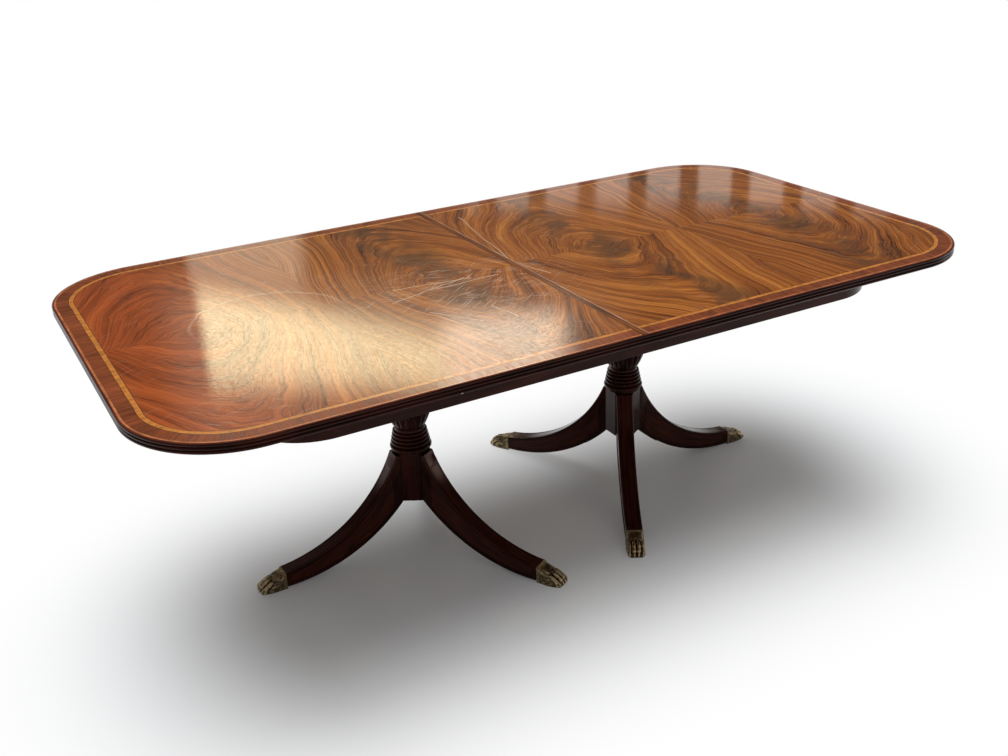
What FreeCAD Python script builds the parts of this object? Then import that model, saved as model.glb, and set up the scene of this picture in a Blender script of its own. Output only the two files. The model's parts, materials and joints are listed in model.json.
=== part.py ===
import FreeCAD, Part
import math
import os

from FreeCAD import Vector

# A double pedestal dining table that draws out for extra leaves. Sizes are in millimetres.
# The origin is on the floor under the middle of the seam: X runs along the table, Z is up.

# Top
top_length = 2286.0
top_width = 1220.0
table_height = 762.0
top_thickness = 24.0
corner_radius = 242.0
seam_gap = 0.5
seam_strip_width = 20.0

# Reeded edge and inlay, each width measured inwards from the one before
edge_width = 16.0
nose_width = 6.0
reed_count = 3
reed_depth = 3.0
veneer_thickness = 1.0
stringing_width = 5.0
crossband_width = 30.0
satinwood_width = 14.0

# Alignment pins in the seam
pin_diameter = 10.0
pin_socket_depth = 20.0
pin_end_clearance = 1.5
pin_count = 4
pin_edge_inset = 190.0
pin_play = 0.2

# Apron
apron_end_inset = 255.0
apron_side_inset = 120.0
apron_depth = 86.0
apron_thickness = 20.0
apron_corner_radius = 165.0
apron_edge_round = 2.0
glue_block_leg = 26.0
glue_block_length = 60.0
glue_block_count = 3
glue_block_spacing = 230.0

# Bearers, mounting plates and bolts
bearer_width = 45.0
bearer_height = 44.0
bearer_spacing = 285.0
bearer_seam_clearance = 60.0
bearer_end_clearance = 60.0
bearer_end_taper = 20.0
plate_side = 330.0
plate_thickness = 28.0
plate_chamfer = 6.0
bolt_diameter = 8.0
bolt_spacing = 230.0
bolt_bite = 26.0
bolt_head_width = 13.0
bolt_head_height = 5.5
washer_diameter = 24.0
washer_thickness = 2.0
bolt_play = 0.25

# Extension slides
slide_length = 900.0
slide_bar_width = 28.0
slide_bar_height = 54.0
slide_play = 0.5
slide_relief = 1.0
slide_tongue_depth = 9.0
slide_tongue_root = 14.0
slide_tongue_tip = 20.0

# Swing latches under the seam
latch_pivot_inset = 30.0
latch_post_inset = 22.0
latch_plate_thickness = 2.0
latch_plate_length = 50.0
latch_plate_width = 36.0
latch_keeper_length = 34.0
latch_lever_thickness = 3.0
latch_lever_width = 17.0
latch_hook_length = 10.0
latch_tail_length = 22.0
latch_rivet_diameter = 6.0
latch_rivet_head = 11.0
latch_knob_diameter = 11.0
latch_knob_height = 9.0
latch_play = 0.4

# Pedestals
pedestal_offset = 352.0
hub_apothem = 45.0
hub_bottom = 158.0
hub_top = 300.0
dovetail_depth = 14.0
dovetail_root = 20.0
dovetail_tip = 26.0
dovetail_stop = 22.0
joint_play = 0.15

# Turned column, from the foot upwards
column_tenon_diameter = 40.0
column_tenon_length = 50.0
foot_height = 6.0
foot_radius = 49.0
bead_height = 15.0
bead_radius = 55.5
ring_count = 4
ring_height = 10.7
ring_step = 2.2
ring_swell = 4.5
ring_groove = 2.6
neck_height = 11.0
neck_radius = 43.0
neck_hollow = 1.5
urn_rise = 92.0
urn_radius = 70.0
urn_bowl_swell = 6.0
urn_fall = 58.0
urn_shoulder_swell = 12.0
urn_lip_radius = 50.0
lobe_count = 20
lobe_groove = 6.0
lobe_depth = 4.0
collar_height = 12.0
collar_radius = 55.0
shaft_radius = 43.0
shaft_hollow = 14.0
cap_height = 24.0
cap_radius = 72.0
cap_bead_height = 14.0

# Sabre legs
leg_width = 48.0
leg_shoulder = 11.0
leg_top_drop = 2.0
leg_top_sweep = 414.0
leg_bottom_sweep = 460.0
leg_edge_round = 4.0
leg_groove_inset = 9.0
leg_groove_width = 2.4
leg_groove_depth = 1.6
leg_panel_margin = 9.0
leg_panel_depth = 1.6
leg_panel_hub_clearance = 16.0
leg_panel_ankle_clearance = 14.0
ankle_reach = 398.0
ankle_top = 46.0
ankle_bottom = 6.0

# Brass paw caps and the tenons inside them
paw_length = 76.0
paw_collar_length = 9.0
paw_collar_lip = 1.2
paw_collar_round = 1.0
paw_instep = 30.0
paw_instep_height = 39.0
paw_instep_width = 51.0
paw_knuckle = 52.0
paw_knuckle_height = 26.0
paw_knuckle_width = 57.0
paw_edge_round = 9.0
paw_sole_trim = 3.0
toe_count = 4
toe_length = 44.0
toe_radius = 8.6
toe_pitch = 13.4
toe_tilt = 16.0
toe_floor_clearance = 0.4
leg_tenon_length = 24.0
leg_tenon_width = 34.0
leg_tenon_bottom = 11.0
leg_tenon_top = 33.0

# Iron strap under each hub, and the screws of the pedestals
strap_thickness = 3.0
strap_width = 26.0
strap_reach = 120.0
strap_screw_reach = 92.0
strap_disc_radius = 40.0
screw_head_diameter = 9.0
screw_head_height = 2.6
screw_shank_diameter = 4.6
screw_length = 16.0
screw_recess = 0.8
paw_screw_inset = 15.0

# Levels and lines that follow from the sizes above
core_top = table_height - veneer_thickness
underside = table_height - top_thickness
apron_bottom = underside - apron_depth
apron_end = top_length / 2 - apron_end_inset
apron_side = top_width / 2 - apron_side_inset
plate_top = underside - bearer_height
plate_bottom = plate_top - plate_thickness
seam_face = seam_gap / 2
strip_face = seam_face + seam_strip_width
inlay_crossband = nose_width + stringing_width
inlay_satinwood = inlay_crossband + crossband_width
inlay_field = inlay_satinwood + satinwood_width
leg_top = hub_top - leg_top_drop
leg_root = hub_apothem
past = 1.0

sides = {"left": -1, "right": 1}
rows = {"front": -1, "back": 1}


def block(x0, x1, y0, y1, z0, z1):
    """Rectangular block between two opposite corners, given in any order."""
    corner = Vector(min(x0, x1), min(y0, y1), min(z0, z1))
    return Part.makeBox(abs(x1 - x0), abs(y1 - y0), abs(z1 - z0), corner)


def polygon(points):
    """Flat face inside a closed row of points."""
    return Part.Face(Part.makePolygon(points + points[:1]))


def rod(diameter, start, direction, length):
    """Round rod from a point along a direction."""
    return Part.makeCylinder(diameter / 2, length, start, direction)


def mirrored(shape, side):
    """A piece modelled on the right-hand half, put on the half that is asked for."""
    if side == "right":
        return shape
    return shape.mirror(Vector(0, 0, 0), Vector(1, 0, 0))


class Outline:
    """Chain of lines and arcs in the upright XZ plane, as (distance from the axis, height)."""

    def __init__(self, x, z):
        self.start = Vector(x, 0, z)
        self.end = self.start
        self.edges = []

    def line(self, x, z):
        """Straight on to a point."""
        point = Vector(x, 0, z)
        self.edges.append(Part.LineSegment(self.end, point).toShape())
        self.end = point
        return self

    def arc(self, via_x, via_z, x, z):
        """Round through one point to another."""
        point = Vector(x, 0, z)
        via = Vector(via_x, 0, via_z)
        self.edges.append(Part.Arc(self.end, via, point).toShape())
        self.end = point
        return self

    def swell(self, x, z, rise):
        """Arc to a point, standing out from its chord by rise, away from the axis if positive."""
        chord = Vector(x, 0, z) - self.end
        outward = Vector(chord.z, 0, -chord.x).normalize()
        middle = self.end + chord * 0.5 + outward * rise
        return self.arc(middle.x, middle.z, x, z)

    def face(self):
        """The face inside the chain, closed by a straight line if it is still open."""
        if self.end.distanceToPoint(self.start) > Part.Precision.confusion():
            self.line(self.start.x, self.start.z)
        return Part.Face(Part.Wire(self.edges))


def half_plan(near, far, half_width, radius, z):
    """Plan of one half as a face: square at the seam, with two round far corners."""
    turn_x = far - radius
    turn_y = half_width - radius
    bend = radius * math.sqrt(0.5)
    front = Part.LineSegment(Vector(near, -half_width, z), Vector(turn_x, -half_width, z))
    front_bend = Part.Arc(
        Vector(turn_x, -half_width, z),
        Vector(turn_x + bend, -turn_y - bend, z),
        Vector(far, -turn_y, z),
    )
    end = Part.LineSegment(Vector(far, -turn_y, z), Vector(far, turn_y, z))
    back_bend = Part.Arc(
        Vector(far, turn_y, z),
        Vector(turn_x + bend, turn_y + bend, z),
        Vector(turn_x, half_width, z),
    )
    back = Part.LineSegment(Vector(turn_x, half_width, z), Vector(near, half_width, z))
    seam = Part.LineSegment(Vector(near, half_width, z), Vector(near, -half_width, z))
    edges = [piece.toShape() for piece in (front, front_bend, end, back_bend, back, seam)]
    return Part.Face(Part.Wire(edges))


def top_slab(inset, near, z0, z1):
    """Slab of one half of the top, drawn in from its edge and ending at the line near the seam."""
    far = top_length / 2 - inset
    plan = half_plan(near, far, top_width / 2 - inset, corner_radius - inset, z0)
    return plan.extrude(Vector(0, 0, z1 - z0))


def inlay_band(inset, width, near):
    """Band of veneer that follows the edge of the top, open at the seam."""
    outer = top_slab(inset, near, core_top, table_height)
    inner = top_slab(inset + width, near - past, core_top, table_height)
    return outer.cut(inner)


def inner_line(side):
    """Where the core and the veneers of a half stop beside the seam."""
    return strip_face if side == "left" else seam_face


def pin_places():
    """Middle of each alignment pin along the seam."""
    first = pin_edge_inset - top_width / 2
    spacing = -2 * first / (pin_count - 1)
    return [first + spacing * index for index in range(pin_count)]


def pin_rods(start, length, diameter):
    """One rod for each alignment pin, from a line beside the seam towards +X."""
    level = (underside + core_top) / 2
    return [rod(diameter, Vector(start, y, level), Vector(1, 0, 0), length) for y in pin_places()]


def top_core(side):
    """Core board of one half, bored for the pins on the right."""
    core = top_slab(edge_width, inner_line(side), underside, core_top)
    if side == "right":
        depth = pin_socket_depth + past
        core = core.cut(pin_rods(seam_face - past, depth, pin_diameter + pin_play))
    return mirrored(core, side)


def seam_strip():
    """Plain strip along the left half's side of the seam, with the sockets of the pins."""
    half_core = top_width / 2 - edge_width
    half_face = top_width / 2 - nose_width
    strip = block(-strip_face, -seam_face, -half_core, half_core, underside, core_top)
    cap = block(-strip_face, -seam_face, -half_face, half_face, core_top, table_height)
    sockets = pin_rods(-strip_face - past, seam_strip_width + 2 * past, pin_diameter + 2 * pin_play)
    return strip.fuse(cap).removeSplitter().cut(sockets)


def alignment_pins():
    """Pins fixed in the right half, which enter the strip of the left half."""
    reach = seam_face + seam_strip_width + seam_face - pin_end_clearance
    return pin_rods(seam_face - reach, reach + pin_socket_depth, pin_diameter)


def reed_section():
    """Section of the edge moulding, with its outermost line at X = 0 and reeds on its face."""
    section = Outline(-edge_width, underside)
    section.line(-reed_depth, underside)
    reed_height = top_thickness / reed_count
    for reed in range(1, reed_count + 1):
        section.swell(-reed_depth, underside + reed * reed_height, reed_depth)
    section.line(-nose_width, table_height)
    section.line(-nose_width, core_top)
    section.line(-edge_width, core_top)
    return section.face()


def section_at(face, turn, x, y):
    """A section turned about Z and moved to its place along the edge."""
    placed = face.copy()
    placed.rotate(Vector(0, 0, 0), Vector(0, 0, 1), turn)
    placed.translate(Vector(x, y, 0))
    return placed


def reeded_edge(side):
    """Edge moulding of one half, carried round both corners."""
    face = reed_section()
    far = top_length / 2
    half_width = top_width / 2
    turn_x = far - corner_radius
    turn_y = half_width - corner_radius
    up = Vector(0, 0, 1)
    front = section_at(face, -90, seam_face, -half_width).extrude(Vector(turn_x - seam_face, 0, 0))
    front_bend = section_at(face, -90, turn_x, -half_width).revolve(Vector(turn_x, -turn_y, 0), up, 90)
    end = section_at(face, 0, far, -turn_y).extrude(Vector(0, 2 * turn_y, 0))
    back_bend = section_at(face, 0, far, turn_y).revolve(Vector(turn_x, turn_y, 0), up, 90)
    back = section_at(face, 90, turn_x, half_width).extrude(Vector(seam_face - turn_x, 0, 0))
    edge = front.multiFuse([front_bend, end, back_bend, back]).removeSplitter()
    return mirrored(edge, side)


def field_veneers(side):
    """Four flame-figured leaves of one half, matched about its two middle lines."""
    near = inner_line(side)
    field = top_slab(inlay_field, near, core_top, table_height)
    far = top_length / 2
    middle = (near + far - inlay_field) / 2
    leaves = []
    for x0, x1 in ((near, middle), (middle, far)):
        for row in rows.values():
            quarter = block(x0, x1, 0, row * top_width, core_top, table_height)
            leaves.append(mirrored(field.common(quarter), side))
    return leaves


def apron_ring():
    """Apron of the right-hand half before it is parted into its rails."""
    outer = half_plan(seam_face, apron_end, apron_side, apron_corner_radius, apron_bottom)
    inner_end = apron_end - apron_thickness
    inner_side = apron_side - apron_thickness
    inner_radius = apron_corner_radius - apron_thickness
    inner = half_plan(seam_face - past, inner_end, inner_side, inner_radius, apron_bottom)
    height = Vector(0, 0, apron_depth)
    return outer.extrude(height).cut(inner.extrude(height))


def rounded_below(rail):
    """A rail of the apron with the long edges of its bottom face eased."""
    edges = []
    for edge in rail.Edges:
        box = edge.BoundBox
        at_bottom = box.ZMax < apron_bottom + past
        if at_bottom and edge.Length > 2 * apron_thickness:
            edges.append(edge)
    return rail.makeFillet(apron_edge_round, edges)


def apron_rail(side, row):
    """Straight front or back rail of the apron."""
    turn_x = apron_end - apron_corner_radius
    stretch = block(0, turn_x, 0, rows[row] * top_width, 0, table_height)
    return mirrored(rounded_below(apron_ring().common(stretch)), side)


def apron_bend(side):
    """End of the apron, bent round both corners."""
    turn_x = apron_end - apron_corner_radius
    stretch = block(turn_x, top_length, -top_width, top_width, 0, table_height)
    return mirrored(rounded_below(apron_ring().common(stretch)), side)


def glue_blocks(side):
    """Three-cornered blocks in the angle between the top and the apron."""
    leg = glue_block_leg
    inner_side = apron_side - apron_thickness
    inner_end = apron_end - apron_thickness
    half = glue_block_length / 2
    first = (apron_end - apron_corner_radius) / 2 - glue_block_spacing * (glue_block_count - 1) / 2
    blocks = []
    for index in range(glue_block_count):
        x0 = first + index * glue_block_spacing - half
        for row in rows.values():
            corner = Vector(x0, row * inner_side, underside)
            points = [corner, corner - Vector(0, row * leg, 0), corner - Vector(0, 0, leg)]
            blocks.append(polygon(points).extrude(Vector(glue_block_length, 0, 0)))
    corner = Vector(inner_end, -half, underside)
    points = [corner, corner - Vector(leg, 0, 0), corner - Vector(0, 0, leg)]
    blocks.append(polygon(points).extrude(Vector(0, glue_block_length, 0)))
    return [mirrored(piece, side) for piece in blocks]


def bolt_places():
    """Axis of each bolt of the right-hand pedestal, as (x, y)."""
    half_x = bolt_spacing / 2
    half_y = bearer_spacing / 2
    return [(pedestal_offset + sx * half_x, sy * half_y) for sx in (-1, 1) for sy in (-1, 1)]


def bolt_holes():
    """Clearance holes for the bolts of the right-hand pedestal."""
    height = plate_thickness + bolt_bite + 2 * past
    size = bolt_diameter + 2 * bolt_play
    foot = plate_bottom - past
    return [rod(size, Vector(x, y, foot), Vector(0, 0, 1), height) for x, y in bolt_places()]


def bearers(side):
    """Two long bearers under one half, tapered below at their ends."""
    x0 = bearer_seam_clearance
    x1 = apron_end - apron_thickness - bearer_end_clearance
    taper = bearer_end_taper
    pieces = []
    for row in rows.values():
        y = row * bearer_spacing / 2 - bearer_width / 2
        outline = [
            Vector(x0, y, underside),
            Vector(x1, y, underside),
            Vector(x1, y, plate_top + taper),
            Vector(x1 - taper, y, plate_top),
            Vector(x0 + taper, y, plate_top),
            Vector(x0, y, plate_top + taper),
        ]
        bar = polygon(outline).extrude(Vector(0, bearer_width, 0))
        pieces.append(mirrored(bar.cut(bolt_holes()), side))
    return pieces


def mounting_plate(side):
    """Square plate on the head of a column, bolted up to the bearers."""
    half = plate_side / 2
    x = pedestal_offset
    plate = block(x - half, x + half, -half, half, plate_bottom, plate_top)
    lower = [edge for edge in plate.Edges if edge.BoundBox.ZMax < plate_bottom + past]
    plate = plate.makeChamfer(plate_chamfer, lower)
    bore = column_tenon_diameter + 2 * joint_play
    foot = Vector(x, 0, plate_bottom - past)
    hole = rod(bore, foot, Vector(0, 0, 1), plate_thickness + 2 * past)
    return mirrored(plate.cut(bolt_holes() + [hole]), side)


def pedestal_bolts(side):
    """Hexagon bolts with washers, from below through the plate into the bearers."""
    bolts = []
    corner_reach = bolt_head_width / 2 / math.cos(math.pi / 6)
    up = Vector(0, 0, 1)
    for x, y in bolt_places():
        washer = rod(washer_diameter, Vector(x, y, plate_bottom - washer_thickness), up, washer_thickness)
        shank = rod(bolt_diameter, Vector(x, y, plate_bottom), up, plate_thickness + bolt_bite)
        level = plate_bottom - washer_thickness - bolt_head_height
        corners = []
        for corner in range(6):
            angle = math.radians(60 * corner)
            reach = Vector(math.cos(angle), math.sin(angle), 0) * corner_reach
            corners.append(Vector(x, y, level) + reach)
        head = polygon(corners).extrude(up * bolt_head_height)
        bolts.append(mirrored(washer.multiFuse([shank, head]).removeSplitter(), side))
    return bolts


def bearer_face():
    """Outermost face of the bearers and the mounting plate, from the centre line."""
    return max(bearer_spacing / 2 + bearer_width / 2, plate_side / 2)


def lever_reach():
    """Distance from the pivot of a latch to the end of its hook."""
    return latch_pivot_inset + latch_post_inset + latch_hook_length


def under_gap():
    """Even gap between the bearers, a set of slides, a latch and the apron."""
    room = apron_side - apron_thickness - bearer_face()
    set_width = 3 * slide_bar_width + 2 * slide_play
    latch_width = lever_reach() + latch_tail_length + latch_lever_width / 2
    return (room - set_width - latch_width) / 3


def slide_faces():
    """Inner faces of the right, middle and left bars of a set, outwards from the centre line."""
    first = bearer_face() + under_gap()
    step = slide_bar_width + slide_play
    return first, first + step, first + 2 * step


def slide_key(face, way, play):
    """Dovetail key along a bar, standing out from a face of the middle bar, grown by play."""
    root = slide_tongue_root / 2 + play
    tip = slide_tongue_tip / 2 + play
    reach = face + way * (slide_tongue_depth + play)
    level = underside - slide_bar_height / 2
    x0 = -slide_length / 2 - play
    points = [
        Vector(x0, face, level - root),
        Vector(x0, face, level + root),
        Vector(x0, reach, level + tip),
        Vector(x0, reach, level - tip),
    ]
    return polygon(points).extrude(Vector(slide_length + 2 * play, 0, 0))


def slide_bar(place, row):
    """One bar of the front or back set: left, middle or right."""
    inner_right, inner_middle, inner_left = slide_faces()
    outer_middle = inner_middle + slide_bar_width
    half = slide_length / 2
    bottom = underside - slide_bar_height
    relieved = underside - slide_relief
    if place == "middle":
        bar = block(-half, half, inner_middle, outer_middle, bottom, relieved)
        keys = [slide_key(inner_middle, -1, 0), slide_key(outer_middle, 1, 0)]
        bar = bar.multiFuse(keys).removeSplitter()
    else:
        inner = inner_left if place == "left" else inner_right
        outer = inner + slide_bar_width
        way = sides[place]
        fixed = block(way * seam_face, way * half, inner, outer, bottom, underside)
        free = block(way * seam_face, -way * half, inner, outer, bottom, relieved)
        bar = fixed.fuse(free).removeSplitter()
        if place == "left":
            bar = bar.cut(slide_key(outer_middle, 1, slide_play))
        else:
            bar = bar.cut(slide_key(inner_middle, -1, slide_play))
    if row == "back":
        return bar
    return bar.mirror(Vector(0, 0, 0), Vector(0, 1, 0))


def latch_line():
    """Distance of the latches from the centre line."""
    return slide_faces()[2] + slide_bar_width + under_gap() + lever_reach()


def latch_plates():
    """Plates on the left half, each with the rivet that its lever turns on."""
    plates = []
    half_width = latch_plate_width / 2
    down = Vector(0, 0, -1)
    foot = underside - latch_plate_thickness
    x1 = -latch_pivot_inset + latch_plate_width / 2
    for row in rows.values():
        y = row * latch_line()
        plate = block(x1 - latch_plate_length, x1, y - half_width, y + half_width, foot, underside)
        shank_length = latch_lever_thickness + latch_play
        pivot = Vector(-latch_pivot_inset, y, foot)
        shank = rod(latch_rivet_diameter, pivot, down, shank_length)
        head = rod(latch_rivet_head, pivot + down * shank_length, down, latch_plate_thickness)
        plates.append(plate.multiFuse([shank, head]).removeSplitter())
    return plates


def latch_keepers():
    """Plates on the right half, each with the headless post that a lever hooks round."""
    keepers = []
    half_width = latch_plate_width / 2
    down = Vector(0, 0, -1)
    foot = underside - latch_plate_thickness
    x0 = latch_post_inset - latch_keeper_length / 2
    for row in rows.values():
        y = row * latch_line()
        plate = block(x0, x0 + latch_keeper_length, y - half_width, y + half_width, foot, underside)
        post_length = latch_lever_thickness + latch_plate_thickness
        post = rod(latch_rivet_diameter, Vector(latch_post_inset, y, foot), down, post_length)
        keepers.append(plate.fuse(post).removeSplitter())
    return keepers


def latch_lever(row):
    """Swing lever at rest, turned away from the seam, with a hook and a finger knob."""
    top = underside - latch_plate_thickness - latch_play / 2
    bottom = top - latch_lever_thickness
    up = Vector(0, 0, 1)
    reach = latch_pivot_inset + latch_post_inset
    half = latch_lever_width / 2
    pivot = Vector(0, 0, bottom)
    tail = pivot - Vector(latch_tail_length, 0, 0)
    thick = latch_lever_thickness
    arm = block(-latch_tail_length, lever_reach(), -half, half, bottom, top)
    arm = arm.fuse(rod(2 * half, tail, up, thick))
    knob = rod(latch_knob_diameter, tail, Vector(0, 0, -1), latch_knob_height)
    arm = arm.fuse(knob).removeSplitter()
    post_room = latch_rivet_diameter / 2 + latch_play
    outer = Part.makeCylinder(reach + post_room, thick, pivot, up, 90)
    inner = Part.makeCylinder(reach - post_room, thick, pivot, up, 90)
    seat = rod(2 * post_room, Vector(reach, 0, bottom), up, thick)
    bore = rod(latch_rivet_diameter + latch_play, pivot, up, thick)
    lever = arm.cut([outer.cut(inner).fuse(seat), bore])
    lever.rotate(Vector(0, 0, 0), up, -90)
    lever.translate(Vector(-latch_pivot_inset, latch_line(), 0))
    if row == "back":
        return lever
    return lever.mirror(Vector(0, 0, 0), Vector(0, 1, 0))


def on_pedestal(shape, side, turn):
    """A piece drawn on the axis of a pedestal, turned and moved to one of the two pedestals."""
    placed = shape.copy()
    facing = 0 if side == "right" else 180
    placed.rotate(Vector(0, 0, 0), Vector(0, 0, 1), turn + facing)
    placed.translate(Vector(sides[side] * pedestal_offset, 0, 0))
    return placed


def leg_turns(side):
    """Turn of each leg of a pedestal about its column, by the leg's name."""
    if side == "right":
        return {"outer": 0, "back": 120, "front": 240}
    return {"outer": 0, "front": 120, "back": 240}


def urn_levels():
    """Heights of the foot, the belly and the lip of the urn."""
    foot = hub_top + foot_height + bead_height + ring_count * ring_height + neck_height
    belly = foot + urn_rise
    return foot, belly, belly + urn_fall


def column_outline():
    """Half section of the turned column with a tenon at each end."""
    tenon = column_tenon_diameter / 2
    outline = Outline(0, hub_top - column_tenon_length)
    outline.line(tenon, hub_top - column_tenon_length)
    outline.line(tenon, hub_top)
    outline.line(foot_radius, hub_top)
    level = hub_top + foot_height
    outline.line(foot_radius, level)
    level += bead_height
    groove = bead_radius - ring_groove - ring_step
    outline.swell(groove, level, bead_height / 2)
    for ring in range(ring_count):
        level += ring_height
        groove -= ring_step
        outline.swell(groove, level, ring_swell)
    foot, belly, lip = urn_levels()
    outline.swell(neck_radius, foot, -neck_hollow)
    outline.swell(urn_radius, belly, urn_bowl_swell)
    outline.swell(urn_lip_radius, lip, urn_shoulder_swell)
    outline.line(collar_radius - collar_height / 2, lip)
    outline.swell(collar_radius - collar_height / 2, lip + collar_height, collar_height / 2)
    outline.line(shaft_radius, lip + collar_height)
    cap_level = plate_bottom - cap_height
    bead_root = cap_radius - cap_bead_height / 2
    outline.swell(bead_root, cap_level - cap_bead_height, -shaft_hollow)
    outline.swell(bead_root, cap_level, cap_bead_height / 2)
    outline.line(cap_radius, cap_level)
    outline.line(cap_radius, plate_bottom)
    outline.line(tenon, plate_bottom)
    outline.line(tenon, plate_top)
    outline.line(0, plate_top)
    return outline


def lobe_grooves():
    """V grooves up the bowl of the urn, which run out at both ends and leave lobes between them."""
    foot, belly, lip = urn_levels()
    start = Vector(neck_radius, 0, foot)
    chord = Vector(urn_radius, 0, belly) - start
    outward = Vector(chord.z, 0, -chord.x).normalize()
    root = start + outward * (urn_bowl_swell - lobe_depth)
    height = 2 * lobe_depth
    side = Vector(0, lobe_groove, 0)
    section = polygon([root, root + outward * height + side, root + outward * height - side])
    groove = section.extrude(chord)
    grooves = []
    for lobe in range(lobe_count):
        turned = groove.copy()
        turned.rotate(Vector(0, 0, 0), Vector(0, 0, 1), 360 * lobe / lobe_count)
        grooves.append(turned)
    return grooves


def column(side):
    """Turned column with a lobed urn above its rings."""
    turned = column_outline().face().revolve(Vector(0, 0, 0), Vector(0, 0, 1), 360)
    return on_pedestal(turned.cut(lobe_grooves()), side, 0)


def dovetail(play, foot):
    """Dovetail tongue of a leg, drawn towards +X and grown by play for its slot."""
    root = dovetail_root / 2 + play
    tip = dovetail_tip / 2 + play
    inner = leg_root - dovetail_depth - play
    points = [
        Vector(leg_root, -root, foot),
        Vector(leg_root, root, foot),
        Vector(inner, tip, foot),
        Vector(inner, -tip, foot),
    ]
    return polygon(points).extrude(Vector(0, 0, hub_top - dovetail_stop + play - foot))


def hub(side):
    """Six-sided block with a slot for each leg and a hole for the column's tenon."""
    corner_reach = hub_apothem / math.cos(math.pi / 6)
    corners = []
    for corner in range(6):
        angle = math.radians(30 + 60 * corner)
        corners.append(Vector(corner_reach * math.cos(angle), corner_reach * math.sin(angle), hub_bottom))
    solid = polygon(corners).extrude(Vector(0, 0, hub_top - hub_bottom))
    bore = column_tenon_diameter + 2 * joint_play
    depth = column_tenon_length + joint_play
    hole = rod(bore, Vector(0, 0, hub_top - depth), Vector(0, 0, 1), depth)
    slots = []
    for turn in leg_turns(side).values():
        slot = dovetail(joint_play, hub_bottom - past)
        slot.rotate(Vector(0, 0, 0), Vector(0, 0, 1), turn)
        slots.append(slot)
    return on_pedestal(solid.cut(slots + [hole]), side, 0)


def sweep_centre(start, end, radius):
    """Centre of the arc of a given radius that sags between two points, as (reach, height)."""
    chord = end - start
    half = chord.Length / 2
    upward = Vector(-chord.z, 0, chord.x).normalize()
    return start + chord * 0.5 + upward * math.sqrt(radius ** 2 - half ** 2)


def top_centre():
    """Centre of the sweep of a leg's top edge."""
    start = Vector(leg_root + leg_shoulder, 0, leg_top)
    return sweep_centre(start, Vector(ankle_reach, 0, ankle_top), leg_top_sweep)


def bottom_centre():
    """Centre of the sweep of a leg's bottom edge."""
    start = Vector(leg_root, 0, hub_bottom)
    return sweep_centre(start, Vector(ankle_reach, 0, ankle_bottom), leg_bottom_sweep)


def sweep_height(centre, radius, reach):
    """Height of a sweep at a distance from the axis."""
    return centre.z - math.sqrt(radius ** 2 - (reach - centre.x) ** 2)


def swept_face(reach0, reach1, lower, upper):
    """Face between two sweeps, each given as (centre, radius), from one reach to another."""
    middle = (reach0 + reach1) / 2
    outline = Outline(reach0, sweep_height(*lower, reach0))
    outline.arc(middle, sweep_height(*lower, middle), reach1, sweep_height(*lower, reach1))
    outline.line(reach1, sweep_height(*upper, reach1))
    outline.arc(middle, sweep_height(*upper, middle), reach0, sweep_height(*upper, reach0))
    return outline.face()


def centred(face, width):
    """A face in the upright plane, thickened evenly to both sides of it."""
    solid = face.extrude(Vector(0, width, 0))
    solid.translate(Vector(0, -width / 2, 0))
    return solid


def strap_screw_line():
    """Foot and upward direction of the screw in each arm of the strap."""
    centre = bottom_centre()
    radius = leg_bottom_sweep + joint_play + strap_thickness
    foot = Vector(strap_screw_reach, 0, sweep_height(centre, radius, strap_screw_reach))
    return foot, (centre - foot).normalize()


def paw_screw_line():
    """Foot and upward direction of the screw in the sole of each paw."""
    return Vector(ankle_reach + paw_screw_inset, 0, screw_recess), Vector(0, 0, 1)


def screw(line, play):
    """Countersunk screw with its head at the foot of its line, grown by play for its hole."""
    foot, up = line
    head = screw_head_diameter / 2 + play
    shank = screw_shank_diameter / 2 + play
    cone = Part.makeCone(head, shank, screw_head_height, foot, up)
    body = rod(2 * shank, foot, up, screw_length + play)
    if play:
        mouth = rod(2 * head, foot - up * screw_length, up, screw_length)
        return body.multiFuse([cone, mouth])
    return body.fuse(cone).removeSplitter()


def leg_blank():
    """Sabre leg drawn towards +X, with its top edges rounded."""
    low = bottom_centre()
    high = top_centre()
    shoulder = leg_root + leg_shoulder
    middle = (leg_root + ankle_reach) / 2
    outline = Outline(leg_root, hub_bottom)
    low_middle = sweep_height(low, leg_bottom_sweep, middle)
    outline.arc(middle, low_middle, ankle_reach, ankle_bottom)
    outline.line(ankle_reach, ankle_top)
    high_middle = sweep_height(high, leg_top_sweep, middle)
    outline.arc(middle, high_middle, shoulder, leg_top)
    outline.line(leg_root, leg_top)
    solid = centred(outline.face(), leg_width)
    top_edges = []
    for edge in solid.Edges:
        is_arc = isinstance(edge.Curve, Part.Circle)
        if is_arc and abs(edge.Curve.Radius - leg_top_sweep) < Part.Precision.confusion():
            top_edges.append(edge)
    return solid.makeFillet(leg_edge_round, top_edges)


def leg_sunk_panels():
    """Shallow panels sunk in both sides of a leg, following its two edges."""
    lower = (bottom_centre(), leg_bottom_sweep - leg_panel_margin)
    upper = (top_centre(), leg_top_sweep + leg_panel_margin)
    start = leg_root + leg_shoulder + leg_panel_hub_clearance
    face = swept_face(start, ankle_reach - leg_panel_ankle_clearance, lower, upper)
    floor = leg_width / 2 - leg_panel_depth
    panels = []
    for way in (-1, 1):
        panel = face.extrude(Vector(0, way * (leg_panel_depth + past), 0))
        panel.translate(Vector(0, way * floor, 0))
        panels.append(panel)
    return panels


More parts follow.
